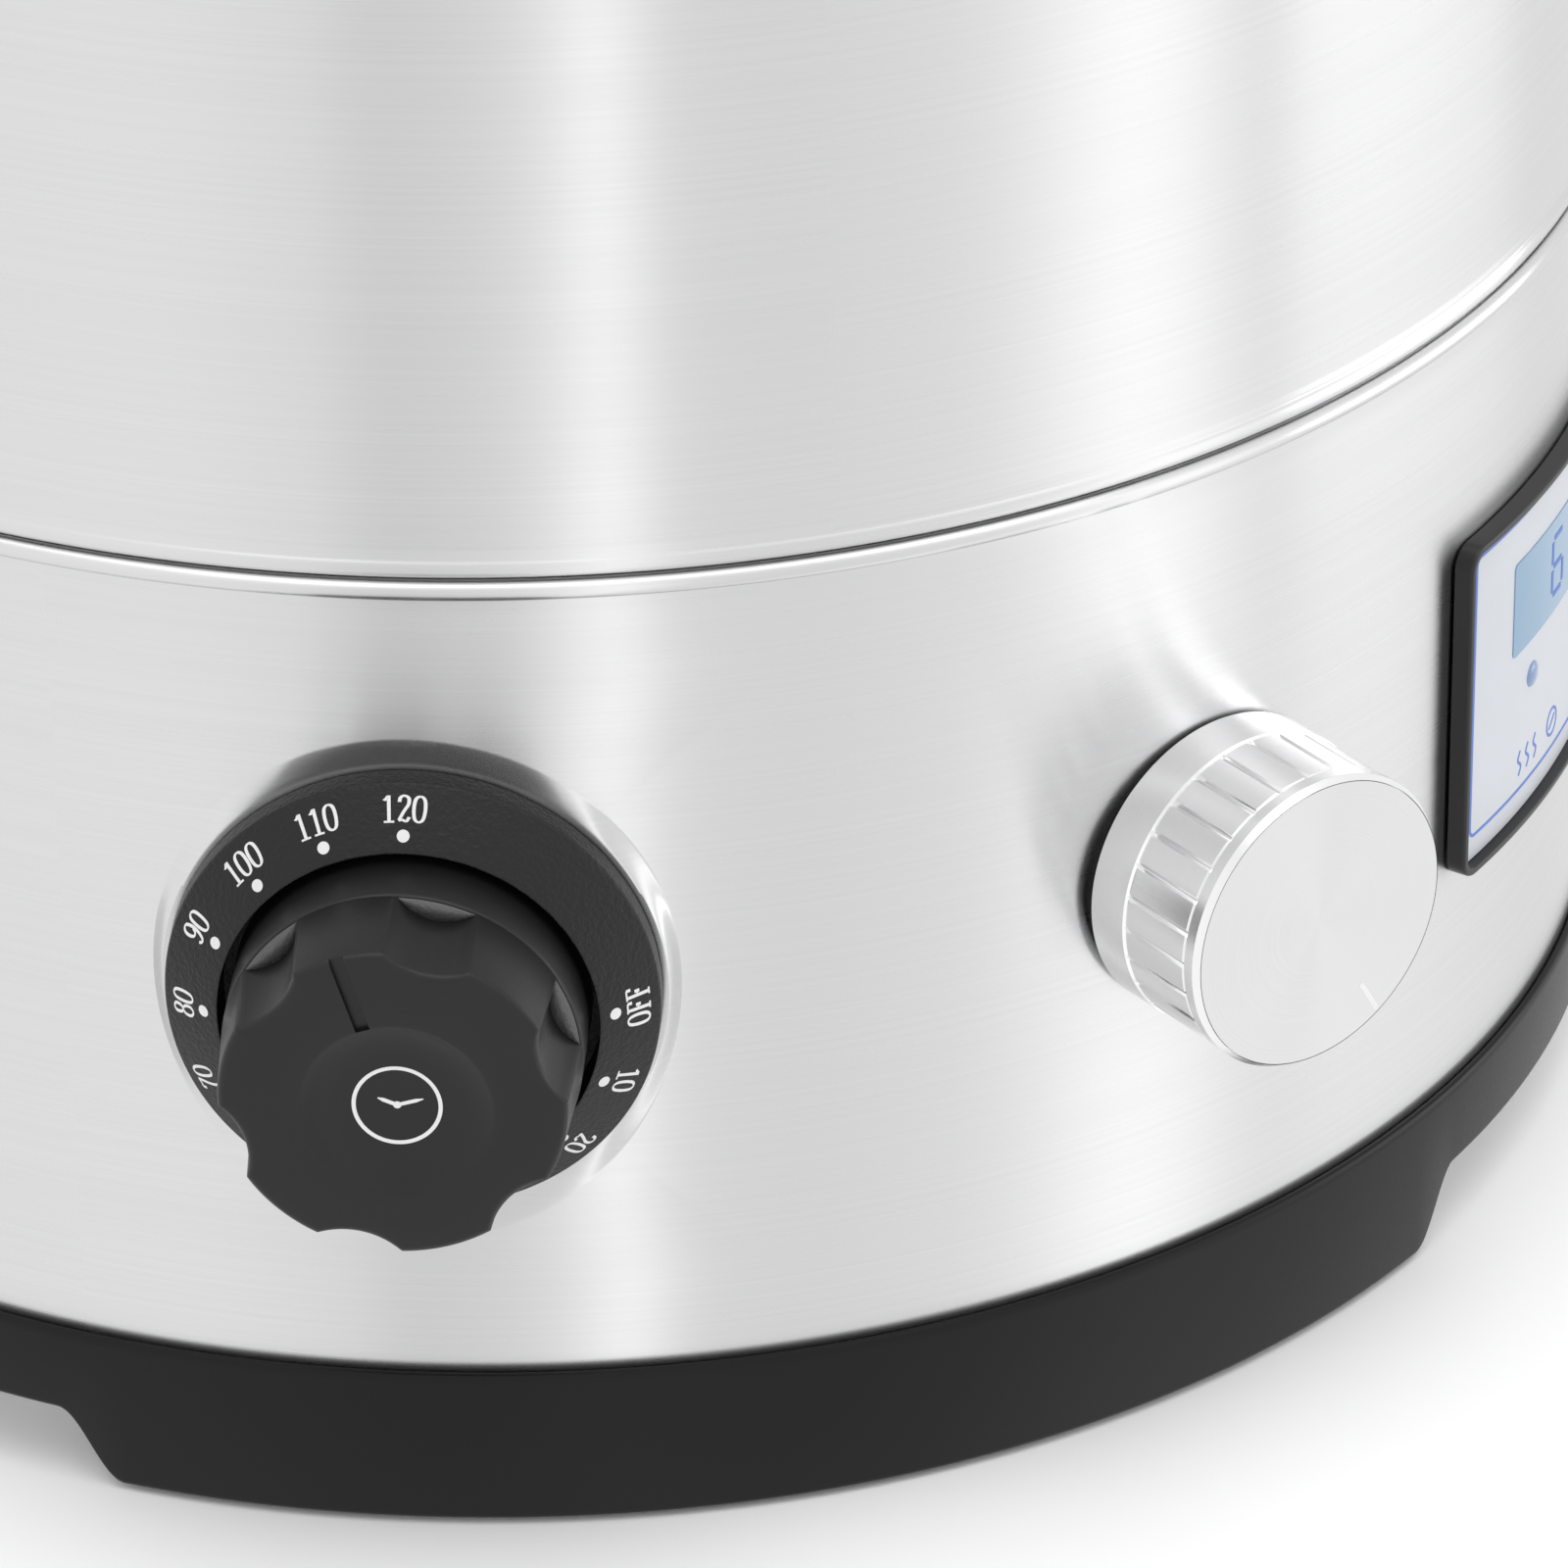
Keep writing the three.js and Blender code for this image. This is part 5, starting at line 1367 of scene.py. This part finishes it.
def tray_frame(name, bottom):
    """Rim, stiffening ring and four posts of a tray."""
    rim = turned(f"{name}_rim", [
        (136.8, bottom, 0.3), (TRAY_RADIUS, bottom, 0.3), (TRAY_RADIUS, bottom + 4.2, 0.3),
        (137.9, bottom + 5.0, 0.4), (136.9, bottom + 5.0, 0.4), (136.8, bottom + 4.2, 0.3),
    ], 192, sharp=50)
    parts = [rim]
    for radius in (60.0, 112.0):
        parts.append(turned("hoop", [
            (radius - 0.7, bottom + 0.05, 0.3), (radius + 0.7, bottom + 0.05, 0.3),
            (radius + 0.7, bottom + 0.5, 0.2), (radius - 0.7, bottom + 0.5, 0.2),
        ], 128))
    for angle in (45, 135, 225, 315):
        parts.append(turned("post", [
            (0, bottom + 0.6), (2.3, bottom + 0.6, 0.4), (2.3, bottom + 34.4, 1.2),
            (1.1, bottom + 35.7, 0.5), (0, bottom + 35.7),
        ], 24, on_circle(POST_CIRCLE, angle), closed=False))
        outwards = Matrix.Rotation(math.radians(angle + 180), 4, "Z")
        parts.append(block("arm", (-1.2, 0, bottom + 0.2), (1.2, 11.2, bottom + 1.2),
                           AXIS @ outwards @ Matrix.Translation((0, POST_CIRCLE, 0))))
    return join_objects(f"{name}_frame", parts)


for k in range(5):
    bottom = TRAY_BASE + TRAY_PITCH * k
    body = f"tray_{k + 1}"
    dress(tray_frame(body, bottom), sheet_steel, body, body)
    dress(mesh_floor(f"{body}_mesh", bottom + 1.0), wire_steel, body, slot="plain_steel")

# ------------------------------------------------------------------ lid, vent and knob


def dome(radius):
    """Rise of the lid's sheet over its flange."""
    share = (radius - LID_FLAT) / (DRUM_INSIDE - LID_FLAT)
    return LID_RISE * (1 - share**2)


def lid():
    steps = 28
    radii = [LID_FLAT + (DRUM_INSIDE - LID_FLAT) * k / steps for k in range(steps)]
    flange = LID_BASE + SHEET
    profile = [(0, LID_TOP - SHEET), (LID_FLAT - 4, LID_TOP - SHEET)]
    profile += [(r, LID_BASE + dome(r)) for r in radii]
    profile += [
        (141.8, LID_BASE + 0.2), (141.8, LID_BASE - 7.4), (142.55, LID_BASE - 7.4),
        (142.55, LID_BASE, 0.3), (147.3, LID_BASE, 0.35), (147.3, flange, 0.35),
    ]
    profile += [(r, flange + dome(r)) for r in reversed(radii)]
    profile += [(LID_FLAT - 4, LID_TOP), (0, LID_TOP)]
    return turned("lid_shell", profile, 320, closed=False, sharp=32)


def vent_cutters(name, low, high):
    """The vent holes as one cutter."""
    profile = [(0, low), (VENT_RADIUS, low), (VENT_RADIUS, high), (0, high)]
    made = []
    for k in range(VENTS):
        place = on_circle(VENT_CIRCLE, 360 / VENTS * k)
        made.append(turned(f"{name}_{k}", profile, 48, place, closed=False))
    return [join_objects(name, made)]


lid_shell = carve(lid(), vent_cutters("lid_vents", LID_TOP - 4, LID_TOP + 3), 32)
dress(lid_shell, lid_steel, "lid", "lid")

shutter_low = LID_TOP + 0.3
shutter = turned("vent_disc", [
    (9.3, shutter_low), (54.0, shutter_low, 0.2), (54.0, shutter_low + 1.0, 0.3), (9.3, shutter_low + 1.0),
], 192)
shutter = carve(shutter, vent_cutters("disc_vents", shutter_low - 2, shutter_low + 3), 32)
tab = block("vent_tab", (-9, -53.4, shutter_low + 0.2), (9, -51.4, shutter_low + 8.0),
            AXIS @ Matrix.Rotation(math.radians(TAB_ANGLE), 4, "Z"), 0.5)
dress(shutter, lid_steel, "vent_shutter", "vent_shutter")
dress(tab, sheet_steel, "vent_shutter", slot="brushed_steel")

knob_low = shutter_low + 1.3
lid_knob = turned("lid_knob_body", [
    (0, shutter_low), (8.7, shutter_low), (8.7, knob_low), (16, knob_low, 0.3), (16, knob_low + 1.5, 0.8),
    (11, knob_low + 5, 2), (9.5, knob_low + 11, 4), (15, knob_low + 19, 3), (18.5, knob_low + 24, 3),
    (18, knob_low + 29, 3), (13, knob_low + 33, 3), (0, knob_low + 34.5),
], 128, closed=False, sharp=50, steps=6)
dress(lid_knob, handle_plastic, "lid", "lid_knob")
lid_screw = screw("lid_screw", AXIS @ Matrix.Translation((0, 0, LID_TOP - SHEET - 0.3)) @ turn_down)
dress(lid_screw, screw_steel, "lid", "lid_knob_screw")

# ------------------------------------------------------------------ mains inlet

inlet_frame = facing(180, 52.5)
SOCKET = (23, 16, 3)  # width, height and corner of the hole for the connector
INLET_SCREW_AT = 20


def extruded(name, outline, low, high, place, bevel=0.0):
    bm = bmesh.new()
    face = bm.faces.new([bm.verts.new((x, y, low)) for x, y in outline])
    made = bmesh.ops.extrude_face_region(bm, geom=[face])
    tops = [v for v in made["geom"] if isinstance(v, bmesh.types.BMVert)]
    bmesh.ops.translate(bm, vec=(0, 0, high - low), verts=tops)
    bmesh.ops.recalc_face_normals(bm, faces=bm.faces)
    if bevel:
        edges = [e for e in bm.edges if all(abs(v.co.z - high) < 1e-4 for v in e.verts)]
        bmesh.ops.bevel(bm, geom=edges, offset=bevel, segments=3, profile=0.5, affect="EDGES")
    return finish_mesh(bm, name, place)


inlet = extruded("inlet_body", rounded_outline(50, 27, 4), -3.4, 3.0, inlet_frame, 0.7)
socket_hole = extruded("socket_cut", rounded_outline(*SOCKET), -13, 5, inlet_frame)
screw_holes = []
for side in (-1, 1):
    place = inlet_frame @ Matrix.Translation((INLET_SCREW_AT * side, 0, 0))
    hole = turned(f"hole_{side}", [(0, -10), (1.9, -10), (1.9, 6), (0, 6)], 32, place, closed=False)
    screw_holes.append(hole)
inlet = carve(inlet, [socket_hole] + screw_holes)
well = extruded("inlet_well", rounded_outline(27, 20, 3), -24, -3, inlet_frame)
well = carve(well, [extruded("well_cut", rounded_outline(*SOCKET), -13, 5, inlet_frame)])
inlet = join_objects("inlet_housing", [inlet, well])
dress(inlet, bezel_plastic, "base", "mains_inlet")
for k, x in enumerate((-7, 0, 7)):
    pin = block(f"socket_pin_{k + 1}", (x - 1, -4.5, -14), (x + 1, -0.5, -2), inlet_frame, 0.35)
    dress(pin, pin_brass, "base", f"inlet_pin_{k + 1}")
for k, side in enumerate((-1, 1)):
    place = inlet_frame @ Matrix.Translation((INLET_SCREW_AT * side, 0, 3.2))
    head = screw(f"socket_screw_{k + 1}", place, 3.2, 1.8)
    dress(head, screw_steel, "base", f"inlet_screw_{k + 1}")

# ------------------------------------------------------------------ CAD nodes that stay

KEPT = {
    sheet_steel: ("bottom_plate", "deck_plate", "outlet_grille", "air_duct", "motor_bracket",
                  "power_control"),
    screw_steel: ("fan_shaft", "timer_shaft", "power_shaft", "power_nut"),
    wire_steel: ("temperature_probe",),
    motor_metal: ("fan_motor",),
    fan_plastic: ("fan_rotor",),
    heater_metal: ("heating_element",),
    mica_board: ("heater_support",),
    timer_cream: ("timer_body", "thermal_cutout"),
    board_green: ("display_board", "power_board"),
    lead_brown: ("lead_inlet_to_timer", "lead_timer_to_board"),
    lead_white: ("lead_board_to_heater", "lead_board_to_motor", "lead_display"),
}
for material, names in KEPT.items():
    for name in names:
        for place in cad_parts[name].material_slots:
            place.material = material
